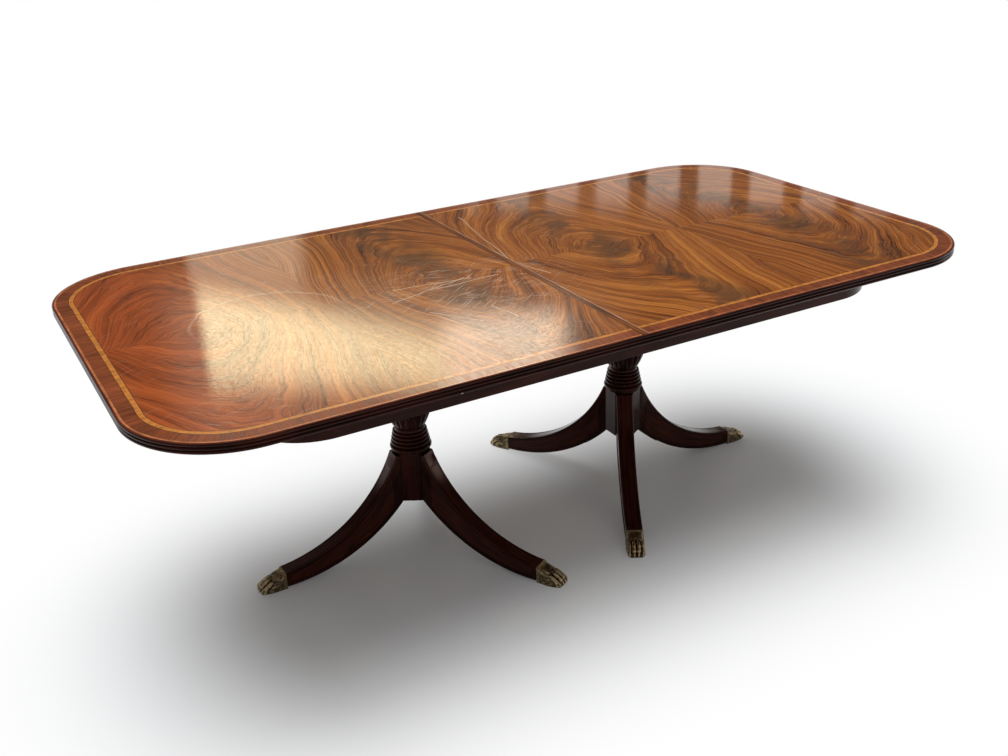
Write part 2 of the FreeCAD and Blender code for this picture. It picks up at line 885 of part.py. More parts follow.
def leg_grooves():
    """Two grooves along the top of a leg, which leave a bead on each edge."""
    centre = top_centre()
    lower = (centre, leg_top_sweep + leg_groove_depth)
    upper = (centre, leg_top_sweep - past)
    start = leg_root + leg_shoulder + leg_panel_hub_clearance
    face = swept_face(start, ankle_reach - leg_panel_ankle_clearance, lower, upper)
    grooves = []
    for way in (-1, 1):
        groove = centred(face, leg_groove_width)
        groove.translate(Vector(0, way * (leg_width / 2 - leg_groove_inset), 0))
        grooves.append(groove)
    return grooves


def leg():
    """Sabre leg with its dovetail tongue, its tenon for the paw and its mouldings."""
    half = leg_tenon_width / 2
    tenon_end = ankle_reach + leg_tenon_length
    tenon = block(ankle_reach, tenon_end, -half, half, leg_tenon_bottom, leg_tenon_top)
    solid = leg_blank().multiFuse([dovetail(0, hub_bottom), tenon])
    holes = [screw(strap_screw_line(), joint_play), screw(paw_screw_line(), joint_play)]
    return solid.cut(leg_sunk_panels() + leg_grooves() + holes)


def round_section(reach, width, top):
    """Upright section of a paw, square across the leg, with round upper corners."""
    half = width / 2
    bottom = -paw_sole_trim
    radius = paw_edge_round
    bend = radius * (1 - math.sqrt(0.5))
    points = [Vector(reach, -half, bottom), Vector(reach, half, bottom)]
    points += [Vector(reach, half, top - radius), Vector(reach, half - radius, top)]
    points += [Vector(reach, radius - half, top), Vector(reach, -half, top - radius)]
    right_bend = Vector(reach, half - bend, top - bend)
    left_bend = Vector(reach, bend - half, top - bend)
    edges = [
        Part.LineSegment(points[0], points[1]).toShape(),
        Part.LineSegment(points[1], points[2]).toShape(),
        Part.Arc(points[2], right_bend, points[3]).toShape(),
        Part.LineSegment(points[3], points[4]).toShape(),
        Part.Arc(points[4], left_bend, points[5]).toShape(),
        Part.LineSegment(points[5], points[0]).toShape(),
    ]
    return Part.Wire(edges)


def toes():
    """Four toes of a paw, each a turned spindle that dips towards its claw."""
    tip = ankle_reach + paw_length
    heel = Vector(-toe_length, 0, 0)
    crown = Vector(-toe_length / 2, 0, toe_radius)
    claw = Vector(0, 0, 0)
    curve = Part.BSplineCurve()
    curve.interpolate([heel, crown, claw])
    axis = Part.LineSegment(claw, heel).toShape()
    half_section = Part.Face(Part.Wire([curve.toShape(), axis]))
    spindles = []
    for index in range(toe_count):
        y = (index - (toe_count - 1) / 2) * toe_pitch
        spindle = half_section.revolve(Vector(0, 0, 0), Vector(1, 0, 0), 360)
        spindle.rotate(crown, Vector(0, 1, 0), toe_tilt)
        room = spindle.BoundBox
        spindle.translate(Vector(tip - room.XMax, y, toe_floor_clearance - room.ZMin))
        spindles.append(spindle)
    return spindles


def paw():
    """Brass lion-paw cap drawn towards +X, hollow for the tenon of its leg."""
    half = leg_width / 2 + paw_collar_lip
    collar_end = ankle_reach + paw_collar_length
    collar_top = ankle_top + paw_collar_lip
    collar = block(ankle_reach, collar_end, -half, half, 0, collar_top)
    collar_edges = [edge for edge in collar.Edges if edge.BoundBox.ZMin > ankle_bottom]
    collar = collar.makeFillet(paw_collar_round, collar_edges)
    instep = ankle_reach + paw_instep
    knuckle = ankle_reach + paw_knuckle
    sections = [
        round_section(collar_end - past, leg_width, ankle_top - past),
        round_section(instep, paw_instep_width, paw_instep_height),
        round_section(knuckle, paw_knuckle_width, paw_knuckle_height),
    ]
    body = Part.makeLoft(sections, True, False)
    under = block(0, 2 * knuckle, -leg_width, leg_width, -2 * paw_sole_trim, 0)
    solid = collar.multiFuse([body.cut(under)] + toes()).removeSplitter()
    half_room = leg_tenon_width / 2 + joint_play
    socket_end = ankle_reach + leg_tenon_length + joint_play
    socket_bottom = leg_tenon_bottom - joint_play
    socket_top = leg_tenon_top + joint_play
    socket = block(ankle_reach - past, socket_end, -half_room, half_room, socket_bottom, socket_top)
    return solid.cut([socket, screw(paw_screw_line(), joint_play)])


def strap(side):
    """Iron strap under a hub: a disc with an arm bent along the underside of each leg."""
    inner = leg_bottom_sweep + joint_play
    upper = (bottom_centre(), inner)
    lower = (bottom_centre(), inner + strap_thickness)
    arm = centred(swept_face(leg_root, strap_reach, lower, upper), strap_width)
    root = block(0, leg_root, -strap_width / 2, strap_width / 2, hub_bottom - strap_thickness, hub_bottom)
    arm = arm.fuse(root)
    disc = rod(2 * strap_disc_radius, Vector(0, 0, hub_bottom - strap_thickness), Vector(0, 0, 1), strap_thickness)
    arms = []
    hole = screw(strap_screw_line(), joint_play)
    for turn in leg_turns(side).values():
        turned = arm.cut(hole)
        turned.rotate(Vector(0, 0, 0), Vector(0, 0, 1), turn)
        arms.append(turned)
    return on_pedestal(disc.multiFuse(arms).removeSplitter(), side, 0)


def pedestal_screws(side):
    """Countersunk screws of the strap and of the paws of one pedestal."""
    screws = []
    for line in (strap_screw_line(), paw_screw_line()):
        for turn in leg_turns(side).values():
            screws.append(on_pedestal(screw(line, 0), side, turn))
    return screws


def export(name, *solids):
    """Write the solids of one node."""
    shape = solids[0] if len(solids) == 1 else Part.makeCompound(list(solids))
    shape.exportStep("parts/%s.step" % name)


def export_top(side):
    """Write the top, apron and bearers of one half."""
    near = inner_line(side)
    export("top_core_" + side, top_core(side))
    export("reeded_edge_" + side, reeded_edge(side))
    export("stringing_" + side, mirrored(inlay_band(nose_width, stringing_width, near), side))
    export("crossband_" + side, mirrored(inlay_band(inlay_crossband, crossband_width, near), side))
    export("satinwood_band_" + side, mirrored(inlay_band(inlay_satinwood, satinwood_width, near), side))
    export("field_veneers_" + side, *field_veneers(side))
    for row in rows:
        export("apron_%s_%s" % (row, side), apron_rail(side, row))
    export("apron_end_" + side, apron_bend(side))
    export("glue_blocks_" + side, *glue_blocks(side))
    export("bearers_" + side, *bearers(side))


def export_pedestal(side, leg_solid, paw_solid):
    """Write one pedestal with its fastenings."""
    export("mounting_plate_" + side, mounting_plate(side))
    export("pedestal_bolts_" + side, *pedestal_bolts(side))
    export("column_" + side, column(side))
    export("hub_" + side, hub(side))
    export("strap_" + side, strap(side))
    export("pedestal_screws_" + side, *pedestal_screws(side))
    for name, turn in leg_turns(side).items():
        export("leg_%s_%s" % (name, side), on_pedestal(leg_solid, side, turn))
        export("paw_%s_%s" % (name, side), on_pedestal(paw_solid, side, turn))


def main():
    """Write every piece of the table."""
    os.makedirs("parts", exist_ok=True)
    leg_solid = leg()
    paw_solid = paw()
    for side in sides:
        export_top(side)
        export_pedestal(side, leg_solid, paw_solid)
    export("seam_strip", seam_strip())
    export("alignment_pins", *alignment_pins())
    export("latch_plates", *latch_plates())
    export("latch_keepers", *latch_keepers())
    for row in rows:
        export("latch_lever_" + row, latch_lever(row))
        for place in ("left", "middle", "right"):
            export("slide_%s_%s" % (place, row), slide_bar(place, row))


main()
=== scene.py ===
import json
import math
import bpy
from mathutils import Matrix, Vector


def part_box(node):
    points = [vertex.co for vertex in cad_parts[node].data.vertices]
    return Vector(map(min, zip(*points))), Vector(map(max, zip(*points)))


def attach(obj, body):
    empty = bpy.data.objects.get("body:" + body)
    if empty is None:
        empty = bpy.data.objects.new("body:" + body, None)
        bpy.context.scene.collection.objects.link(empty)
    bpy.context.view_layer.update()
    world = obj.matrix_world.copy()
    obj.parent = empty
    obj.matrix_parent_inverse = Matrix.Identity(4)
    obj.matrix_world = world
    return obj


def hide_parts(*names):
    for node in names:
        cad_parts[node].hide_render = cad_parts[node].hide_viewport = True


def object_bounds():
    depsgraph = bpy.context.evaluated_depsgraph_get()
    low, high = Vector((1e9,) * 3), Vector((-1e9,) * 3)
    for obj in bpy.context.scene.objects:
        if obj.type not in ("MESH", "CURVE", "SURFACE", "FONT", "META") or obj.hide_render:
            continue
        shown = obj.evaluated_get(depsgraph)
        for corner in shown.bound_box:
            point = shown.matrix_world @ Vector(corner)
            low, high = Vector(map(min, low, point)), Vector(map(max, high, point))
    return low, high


bl_info = {
    "name": "Double pedestal dining table",
    "version": (1, 0, 0),
    "blender": (4, 5, 0),
    "location": "View3D > Sidebar > Table",
    "description": "Veneers, mouldings, castings and fittings of a dining table, round its packed solids",
    "category": "Object",
}

import bmesh
import bpy
import numpy as np
from bpy.props import FloatProperty, FloatVectorProperty, IntProperty, PointerProperty
from mathutils import Matrix, Vector

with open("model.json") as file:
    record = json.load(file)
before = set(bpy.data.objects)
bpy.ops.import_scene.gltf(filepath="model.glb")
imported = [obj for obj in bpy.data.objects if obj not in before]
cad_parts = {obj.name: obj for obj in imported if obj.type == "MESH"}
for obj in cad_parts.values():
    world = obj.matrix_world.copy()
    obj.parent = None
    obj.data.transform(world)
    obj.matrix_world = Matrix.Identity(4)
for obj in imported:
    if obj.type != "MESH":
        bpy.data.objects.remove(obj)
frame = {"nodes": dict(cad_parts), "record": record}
cad_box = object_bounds()
record = frame["record"]

SIDES = {"left": -1, "right": 1}
ROWS = {"front": -1, "back": 1}
LEG_TURNS = {
    "left": {"outer": 180, "front": 300, "back": 60},
    "right": {"outer": 0, "front": 240, "back": 120},
}

# Long scratches in the polish, each from one place on the top to another
SCRATCHES = (
    ((-0.37, 0.00), (-0.16, -0.03)),
    ((-0.41, -0.09), (-0.17, -0.02)),
    ((-0.29, -0.06), (-0.09, -0.05)),
    ((-0.21, -0.25), (-0.19, -0.36)),
    ((0.07, 0.48), (-0.02, -0.06)),
    ((-0.02, 0.10), (0.03, -0.12)),
    ((-0.36, -0.20), (-0.27, -0.33)),
)
SCRATCH_WIDTH = 0.0026
SCRATCH_WANDER = 0.02

# Where the polish is most scratched, how fast that ends each way, and a pale ring in it
WORN_PLACE = (-0.20, -0.10)
WORN_FALL = (2.6, 3.4)
RING_PLACE = (-0.70, -0.02)
RING_RADIUS = 0.19

# A toe from its root to its last knuckle: part of the paw's length and share of the toe's radius
TOE_STATIONS = ((0.30, 0.40), (0.40, 0.62), (0.50, 0.82), (0.60, 1.0), (0.69, 0.90), (0.77, 1.02))
PAD_PART = 0.81

# A claw from its root to its point: distance behind the tip, level and share of the claw's radius
CLAW_STATIONS = (
    (0.0095, 0.0165, 0.9),
    (0.0044, 0.0125, 1.0),
    (0.0024, 0.0075, 0.75),
    (0.0016, 0.0030, 0.40),
)

# How far a ridge of the casting stands out where it is fully rubbed, and how rubbed the collar is
RIDGE_HEIGHT = 0.0011
COLLAR_RELIEF = 0.62

# How far the polish is worn on top of the edge moulding and in the sunk panels of the legs
MOULDING_WORN = 0.8
PANEL_WORN = 0.22

# How far the grain of each hidden board is shifted from that of the one before
GRAIN_STEP = 0.37

# Sines of the heights where the light from above starts and is full
SKY_RISE = (0.35, 0.95)

# Distances from the middle of a bar, as shares of the pitch, where its light has ended and is full
BAR_EDGES = (0.36, 0.28)

# Soft boxes round the table, in degrees: compass turns from +Y, heights, soft edges, the slopes of the
# lower and upper edges, and the pitch of bars across them
SOFT_BOXES = {
    "side": {
        "left": 97, "right": 106, "soft": 3, "tail": 3, "low": 5, "high": 13, "fade": 4,
        "strength": 3.0, "tint": (1.0, 0.92, 0.84),
    },
    "strips": {
        "left": 28, "right": 49, "soft": 2, "tail": 3, "low": 9, "high": 15.3, "fade": 1.2,
        "pitch": 2.6, "strength": 1.0, "tint": (1.0, 0.88, 0.78),
    },
    "pane": {
        "left": 12.5, "right": 17.6, "soft": 0.4, "tail": 1.0, "low": 15, "high": 20, "fade": 2,
        "strength": 1.3, "tint": (1.0, 0.86, 0.66),
    },
    "halo": {
        "left": 12.5, "right": 31, "soft": 3, "tail": 6, "low": 21.5, "high": 26, "fade": 3.5,
        "low_tilt": 0.1, "high_tilt": 0.1, "strength": 0.8, "tint": (1.0, 0.84, 0.68),
    },
    "glow": {
        "left": 12.9, "right": 29, "soft": 0.7, "tail": 4, "low": 22.3, "high": 23.4, "fade": 2.1,
        "low_tilt": 0.27, "high_tilt": 0.10, "strength": 5.6, "tint": (1.0, 0.90, 0.57),
    },
    "lobe": {
        "left": 26.2, "right": 30.6, "soft": 2.0, "tail": 2.5, "low": 22.2, "high": 24.5, "fade": 1.7,
        "strength": 5.4, "tint": (1.0, 0.84, 0.64),
    },
}


def size(name, description, default):
    """A length in metres that a user may change."""
    return FloatProperty(name=name, description=description, default=default, unit="LENGTH", precision=4)


def number(name, description, default):
    """A plain number that a user may change."""
    return FloatProperty(name=name, description=description, default=default, precision=3)


def count(name, description, default, least=1):
    """A whole number that a user may change."""
    return IntProperty(name=name, description=description, default=default, min=least)


def angle(name, description, degrees):
    """An angle, given in degrees, that a user may change."""
    return FloatProperty(name=name, description=description, default=math.radians(degrees), subtype="ANGLE")


def colour(name, description, default):
    """A linear colour that a user may change."""
    return FloatVectorProperty(
        name=name, description=description, default=default, size=3, subtype="COLOR", min=0.0, max=1.0
    )


def position(name, description, default):
    """A place in metres that a user may change."""
    return FloatVectorProperty(
        name=name, description=description, default=default, subtype="TRANSLATION", precision=5
    )


def attitude(name, description, *degrees):
    """Three Euler angles, given in degrees, that a user may change."""
    turns = [math.radians(turn) for turn in degrees]
    return FloatVectorProperty(
        name=name, description=description, default=turns, subtype="EULER", precision=5
    )


class TopProperties(bpy.types.PropertyGroup):
    """Sizes of the veneered top and its reeded edge."""

    corner_radius: size("Corner radius", "Radius of the corners of the top", 0.242)
    edge_width: size("Edge width", "Depth of the edge moulding from its front", 0.016)
    nose_width: size("Nose width", "Flat on top of the edge moulding", 0.006)
    veneer: size("Veneer", "Thickness of the veneers", 0.001)
    reed_depth: size("Reed depth", "Height of each reed above its grooves", 0.003)
    reed_count: count("Reeds", "Reeds on the edge", 3)
    seam_gap: size("Seam gap", "Gap between the closed halves", 0.0005)
    seam_line: size("Seam line", "Width of the dark joint beside the seam strip", 0.0018)
    rub_start: size("Rub start", "Where the seam strip's edge starts to be rubbed", 0.0036)
    rub_end: size("Rub end", "Where the seam strip's edge is rubbed most", 0.0016)
    satinwood_start: size("Satinwood start", "Inset of the satinwood band", 0.041)
    satinwood_end: size("Satinwood end", "Inset of the field of flame leaves", 0.055)
    dark_line: size("Dark line", "Width of the dark lines beside the satinwood", 0.0014)
    spine_left: size("Left spine", "Distance of the flame's spine from the middle of the left half", 0.33)
    spine_right: size("Right spine", "Distance of the flame's spine from the middle of the right half", 0.27)
    inner_bend: number("Inner bend", "How steeply the flame falls towards the middle of a half", 8.9)
    outer_bend: number("Outer bend", "How steeply the flame falls away from the middle of a half", 5.0)
    flame_power: number("Flame power", "How the flame steepens", 1.75)


class FinishProperties(bpy.types.PropertyGroup):
    """Colours of the woods and metals."""

    flame_dark: colour("Flame dark", "Dark streaks of the flame leaves", (0.062, 0.016, 0.004))
    flame_mid: colour("Flame middle", "Body colour of the flame leaves", (0.300, 0.082, 0.0110))
    flame_light: colour("Flame light", "Pale streaks of the flame leaves", (0.58, 0.210, 0.034))
    flame_spine: colour("Flame spine", "Smoky colour along the spines", (0.055, 0.031, 0.016))
    # Painted shade: this redder, darker body towards the left end stands in for the way the light falls
    # there
    flame_shade_red: colour("Flame red", "Body colour at the redder end", (0.320, 0.061, 0.0125))
    crossband: colour("Crossband", "Body colour of the crossband", (0.225, 0.056, 0.018))
    satinwood: colour("Satinwood", "Body colour of the light bands", (0.60, 0.215, 0.042))
    stringing: colour("Stringing", "Body colour of the outer lines", (0.50, 0.165, 0.060))
    dark_line: colour("Dark line", "Dyed lines beside the satinwood", (0.055, 0.028, 0.012))
    mahogany: colour("Mahogany", "Body colour of the dark polished wood", (0.010, 0.003, 0.002))
    mahogany_red: colour("Mahogany red", "Where the dark polish is thin", (0.036, 0.007, 0.004))
    mahogany_worn: colour("Mahogany worn", "Where hands and feet have worn the polish", (0.15, 0.036, 0.020))
    sheen: colour("Sheen", "Tint of the dark polish's reflections", (0.70, 0.28, 0.20))
    secondary: colour("Secondary wood", "Plain wood under the top", (0.20, 0.10, 0.046))
    brass: colour("Brass", "Rubbed ridges of the paw castings", (0.46, 0.345, 0.195))
    brass_dark: colour("Dark brass", "Hollows of the paw castings", (0.028, 0.020, 0.012))
    pin_brass: colour("Pin brass", "Alignment pins in the seam", (0.62, 0.43, 0.17))
    iron: colour("Iron", "Black straps under the blocks", (0.030, 0.028, 0.026))
    steel: colour("Steel", "Latches, bolts and screws", (0.38, 0.37, 0.35))
    scratch: colour("Scratch", "Pale scratches in the polish", (0.60, 0.42, 0.30))
    chip_place: position("Chip place", "Pale chip in the front moulding", (-0.4855, -0.610, 0.738))
    chip_size: size("Chip size", "Radius of the pale chip", 0.0045)


class PedestalProperties(bpy.types.PropertyGroup):
    """Sizes of the columns and legs, measured from the axis of a pedestal and the floor."""

    offset: size("Offset", "Distance of each column from the middle", 0.352)
    hub_top: size("Hub top", "Level of the foot of the column", 0.300)
    plate_bottom: size("Plate bottom", "Level of the head of the column", 0.666)
    foot_height: size("Foot height", "Plain foot of the column", 0.006)
    foot_radius: size("Foot radius", "Radius of the plain foot", 0.049)
    bead_height: size("Bead height", "Round bead above the foot", 0.015)
    bead_radius: size("Bead radius", "Radius of the round bead", 0.0555)
    ring_count: count("Rings", "Rings above the bead", 4)
    ring_height: size("Ring height", "Height of each ring", 0.0107)
    ring_step: size("Ring step", "How far each ring draws in", 0.0022)
    ring_swell: size("Ring swell", "How far a ring stands out", 0.0045)
    ring_groove: size("Ring groove", "Depth of the groove under the rings", 0.0026)
    neck_height: size("Neck height", "Hollow neck above the rings", 0.011)
    neck_radius: size("Neck radius", "Radius of the neck", 0.043)
    neck_hollow: size("Neck hollow", "Depth of the neck's curve", 0.0015)
    urn_rise: size("Urn rise", "Height of the bowl of the urn", 0.092)
    urn_radius: size("Urn radius", "Radius at the belly of the urn", 0.070)
    bowl_swell: size("Bowl swell", "How far the bowl stands out", 0.006)
    urn_fall: size("Urn fall", "Height of the shoulder of the urn", 0.058)
    shoulder_swell: size("Shoulder swell", "How far the shoulder stands out", 0.012)
    lip_radius: size("Lip radius", "Radius at the lip of the urn", 0.050)
    collar_height: size("Collar height", "Collar above the urn", 0.012)
    collar_radius: size("Collar radius", "Radius of the collar", 0.055)
    shaft_radius: size("Shaft radius", "Radius at the foot of the shaft", 0.043)
    shaft_hollow: size("Shaft hollow", "Depth of the shaft's curve", 0.014)
    cap_height: size("Cap height", "Cap under the mounting plate", 0.024)
    cap_radius: size("Cap radius", "Radius of the cap", 0.072)
    cap_bead: size("Cap bead", "Height of the bead under the cap", 0.014)
    lobe_count: count("Lobes", "Lobes round the bowl", 20, least=3)
    lobe_depth: size("Lobe depth", "Depth of the grooves between lobes", 0.004)
    leg_shoulder: size("Leg shoulder", "Reach of the top of a leg's sweep", 0.056)
    leg_top: size("Leg top", "Level of the top of a leg's sweep", 0.298)
    leg_sweep: size("Leg sweep", "Radius of a leg's sweep", 0.414)
    ankle_reach: size("Ankle reach", "Reach of a leg's end", 0.398)
    ankle_top: size("Ankle top", "Level of the top of a leg's end", 0.046)
    panel_depth: size("Panel depth", "Depth of the sunk panels in the sides of the legs", 0.0016)
    edge_ease: size("Edge ease", "Softened arris of the joinery", 0.0008)


class PawProperties(bpy.types.PropertyGroup):
    """Sizes of a cast paw, measured out from the end of its leg."""

    length: size("Length", "From the leg's end to the claws", 0.076)
    sole: size("Sole", "Level of the flat sole", 0.0003)
    collar_length: size("Collar", "Length of the ringed collar", 0.009)
    collar_half: size("Collar half width", "Half the width of the collar", 0.0251)
    collar_top: size("Collar top", "Level of the top of the collar", 0.0471)
    collar_fall: size("Collar fall", "How far the collar falls in line with its leg", 0.0032)
    corner_start: size("Corner start", "Radius of the collar's upper corners at the leg", 0.004)
    corner_gain: size("Corner gain", "How far that radius grows towards the paw", 0.007)
    ring_count: count("Rings", "Fine rings round the collar", 3)
    ring_depth: size("Ring depth", "Depth between the fine rings", 0.0010)
    toe_count: count("Toes", "Toes of a paw", 4)
    toe_pitch: size("Toe pitch", "Distance between toes", 0.0122)
    toe_radius: size("Toe radius", "Radius of a toe at its knuckle", 0.0066)
    toe_rise: size("Toe rise", "How far the toes stand above the back of the paw", 0.0042)
    toe_lead: size("Toe lead", "How far the middle toes lead the outer ones", 0.0050)
    toe_fall: size("Toe fall", "How far the outer toes lie below the middle ones", 0.0030)
    claw_radius: size("Claw radius", "Radius of a claw at its root", 0.0031)
    crown_fall: number("Crown fall", "How late the back falls to the toes", 1.6)
    voxel: size("Voxel", "Fineness of the modelled casting", 0.0009)


class FittingProperties(bpy.types.PropertyGroup):
    """Sizes of the small screws under the top."""

    head: size("Head", "Diameter of a screw head", 0.0085)
    head_height: size("Head height", "Height of a screw head", 0.0022)
    slot: size("Slot", "Width of a screw's slot", 0.0012)
    plate_width: size("Plate width", "Width of a latch plate", 0.036)
    plate_thickness: size("Plate thickness", "Thickness of a latch plate", 0.002)
    plate_inset: size("Plate inset", "Screws from the edges of the latch plates", 0.007)
    rail_inset: size("Rail inset", "Screws from the ends of the slides", 0.06)
    rail_count: count("Rail screws", "Screws in each slide", 4, least=2)


class StageProperties(bpy.types.PropertyGroup):
    """Camera, lamps and floor."""

    camera_place: position("Camera place", "Where the camera stands", (-1.42295, -2.52244, 1.74371))
    camera_turn: attitude("Camera turn", "Euler angles of the camera", 65.4415, 2.0616, -29.4289)
    camera_lens: number("Lens", "Focal length in millimetres", 40.153)
    camera_film: number("Film", "Width of the film in millimetres", 36.0)
    sun_strength: number("Sun strength", "Strength of the high lamp", 2.0)
    sun_spread: angle("Sun spread", "Softness of the high lamp", 50)
    sun_turn: attitude("Sun turn", "Euler angles of the high lamp", -18, 0, 0)
    sky: colour("Sky", "Even light from above", (0.55, 0.55, 0.55))
    dusk: colour("Dusk", "Dim room between the backdrop and the sky", (0.04, 0.04, 0.04))
    backdrop: colour("Backdrop", "White backdrop round the horizon", (1.0, 1.0, 1.0))
    backdrop_top: angle("Backdrop top", "How high the backdrop reaches", 5)
    backdrop_fade: angle("Backdrop fade", "How far the backdrop fades upwards", 5)
    floor: colour("Floor", "Pale floor", (0.82, 0.855, 0.89))
    floor_size: size("Floor size", "Side of the floor", 80.0)
    floor_length: size("Floor length", "Half the length of the line that the floor fades from", 0.7)
    floor_shift: size("Floor shift", "How far that line lies in front of the middle", 0.15)
    floor_near: size("Near floor", "Where the floor starts to fade to white", 0.12)
    floor_far: size("Far floor", "Where the floor is white", 0.92)
    # Painted light: share of white glow that lightens the floor's shadow under the table
    floor_glow: number("Floor white", "Share of white under the table", 0.06)


class Signal:
    """A value in a node tree, with the sums that it takes part in."""

    def __init__(self, graph, socket):
        self.graph = graph
        self.socket = socket

    def __add__(self, other):
        return self.graph.math("ADD", self, other)

    def __sub__(self, other):
        return self.graph.math("SUBTRACT", self, other)

    def __rsub__(self, other):
        return self.graph.math("SUBTRACT", other, self)

    def __mul__(self, other):
        return self.graph.math("MULTIPLY", self, other)

    def __truediv__(self, other):
        return self.graph.math("DIVIDE", self, other)

    def __pow__(self, power):
        return self.graph.math("POWER", self, power)

    def __abs__(self):
        return self.graph.math("ABSOLUTE", self)

    def __lt__(self, other):
        return self.graph.math("LESS_THAN", self, other)

    def __gt__(self, other):
        return self.graph.math("GREATER_THAN", self, other)

    def at_least(self, other):
        """This number, or the other where that is larger."""
        return self.graph.math("MAXIMUM", self, other)

    def at_most(self, other):
        """This number, or the other where that is smaller."""
        return self.graph.math("MINIMUM", self, other)

    def fade(self, start, end, low=0.0, high=1.0):
        """Smooth step from low at the start to high at the end."""
        node = self.graph.add("ShaderNodeMapRange", interpolation_type="SMOOTHSTEP")
        return Signal(self.graph, self.graph.fill(node, self, start, end, low, high))


class Graph:
    """A node tree built by short calls that return sockets, and signals for numbers."""

    def __init__(self, tree):
        self.tree = tree

    def put(self, socket, value):
        """Link a socket, or set a plain value."""
        if isinstance(value, Signal):
            value = value.socket
        if isinstance(value, bpy.types.NodeSocket):
            self.tree.links.new(value, socket)
        else:
            socket.default_value = value

    def add(self, kind, inputs=None, **settings):
        """A new node with its settings and its inputs by name."""
        node = self.tree.nodes.new(kind)
        for name, value in settings.items():
            setattr(node, name, value)
        for name, value in (inputs or {}).items():
            self.put(node.inputs[name], value)
        return node

    def step(self, kind, inputs=None, **settings):
        """First output of a new node."""
        return self.add(kind, inputs, **settings).outputs[0]

    def fill(self, node, *values):
        """Give a node its first inputs in order, for its first output."""
        for socket, value in zip(node.inputs, values):
            self.put(socket, value)
        return node.outputs[0]

    def math(self, operation, *values):
        """One sum on one or two numbers."""
        return Signal(self, self.fill(self.add("ShaderNodeMath", operation=operation), *values))

    def vector(self, x, y, z):
        """Three numbers as one vector."""
        return self.step("ShaderNodeCombineXYZ", {"X": x, "Y": y, "Z": z})

    def parts(self, vector):
        """The three numbers of a vector."""
        return [Signal(self, part) for part in self.add("ShaderNodeSeparateXYZ", {"Vector": vector}).outputs]

    def mix(self, factor, first, second):
        """Two colours mixed by a factor."""
        node = self.add("ShaderNodeMix", data_type="RGBA")
        self.put(node.inputs[0], factor)
        for socket, value in ((node.inputs[6], first), (node.inputs[7], second)):
            self.put(socket, value if isinstance(value, bpy.types.NodeSocket) else (*value, 1.0))
        return node.outputs[2]


class Finish(Graph):
    """Node tree of one material."""

    def __init__(self, name, coat=0.0, coat_roughness=0.1, gloss=0.5, metallic=0.0, sheen=(1.0, 1.0, 1.0)):
        self.material = bpy.data.materials.new(name + "_finish")
        self.material.use_nodes = True
        super().__init__(self.material.node_tree)
        self.shader = self.tree.nodes["Principled BSDF"]
        self.set("Metallic", metallic)
        self.set("Specular IOR Level", gloss)
        self.set("Specular Tint", (*sheen, 1.0))
        self.set("Coat Weight", coat)
        self.set("Coat Roughness", coat_roughness)

    def set(self, name, value):
        """Link or set an input of the shader."""
        self.put(self.shader.inputs[name], value)

    def place(self):
        """Place on the table, in metres."""
        return self.add("ShaderNodeTexCoord").outputs["Object"]

    def grain(self):
        """Place along and across the grain that the piece's mesh carries, in metres."""
        return self.add("ShaderNodeAttribute", attribute_name="grain").outputs["Vector"]

    def carried(self, name):
        """A number that the piece's mesh carries."""
        return Signal(self, self.add("ShaderNodeAttribute", attribute_name=name).outputs["Fac"])

    def noise(self, vector, scale, detail=2.0, roughness=0.5):
        """Outputs of soft noise, with about so many features to a unit along each axis."""
        stretched = self.fill(self.add("ShaderNodeVectorMath", operation="MULTIPLY"), vector, scale)
        inputs = {"Vector": stretched, "Scale": 1.0, "Detail": detail, "Roughness": roughness}
        return self.add("ShaderNodeTexNoise", inputs).outputs

    def speckle(self, vector, scale, detail=2.0, roughness=0.5):
        """One channel of the noise."""
        return Signal(self, self.noise(vector, scale, detail, roughness)[0])

    def tones(self, factor, *stops):
        """Colours set along a factor, as (position, colour)."""
        node = self.add("ShaderNodeValToRGB", {"Fac": factor})
        elements = node.color_ramp.elements
        while len(elements) < len(stops):
            elements.new(0.5)
        for element, (at, tone) in zip(elements, stops):
            element.position = at
            element.color = (*tone, 1.0)
        return node.outputs[0]

    def shades(self, factor, body, *stops):
        """Darker and lighter shades of one colour set along a factor, as (position, share)."""
        return self.tones(factor, *(
            (at, [min(1.0, share * channel) for channel in body]) for at, share in stops
        ))

    def close(self, tone, roughness, height, depth, strength):
        """Join colour, roughness and relief to the shader and give the material."""
        self.set("Base Color", tone)
        self.set("Roughness", roughness)
        bump = self.step("ShaderNodeBump", {"Height": height, "Distance": depth, "Strength": strength})
        self.set("Normal", bump)
        self.set("Coat Normal", bump)
        return self.material


def heading(turn):
    """Direction on the plan at a turn in degrees from +X."""
    return math.cos(math.radians(turn)), math.sin(math.radians(turn))


def turned(x, y, way):
    """Distances along a direction and across it."""
    return x * way[0] + y * way[1], y * way[0] - x * way[1]


def hypotenuse(first, second):
    """Long side of the right triangle on two signals."""
    return first.graph.math("SQRT", first * first + second * second)


def edge_path(graph):
    """Distance along the outline of the top, and inset from it."""
    radius = bpy.context.scene.table_top.corner_radius
    turn_x = cad_box[1].x - radius
    turn_y = cad_box[1].y - radius
    x, y = graph.parts(graph.place())[:2]
    past_x = (abs(x) - turn_x).at_least(0.0)
    past_y = (abs(y) - turn_y).at_least(0.0)
    bend = graph.math("ARCTAN2", past_x, past_y) * radius
    along = abs(x).at_most(turn_x) + bend - abs(y).at_most(turn_y)
    return along, radius - hypotenuse(past_x, past_y)


def scratches(graph, x, y, turns, rarity):
    """Fine straight scratches in a few directions, from long thin noise."""
    answer = 0.0
    for index, turn in enumerate(turns):
        along, across = turned(x, y, heading(turn))
        thin = graph.speckle(graph.vector(along, across, index), (11.0, 360.0, 3.0), 0.0)
        answer = thin.fade(rarity, rarity + 0.06).at_least(answer)
    return answer


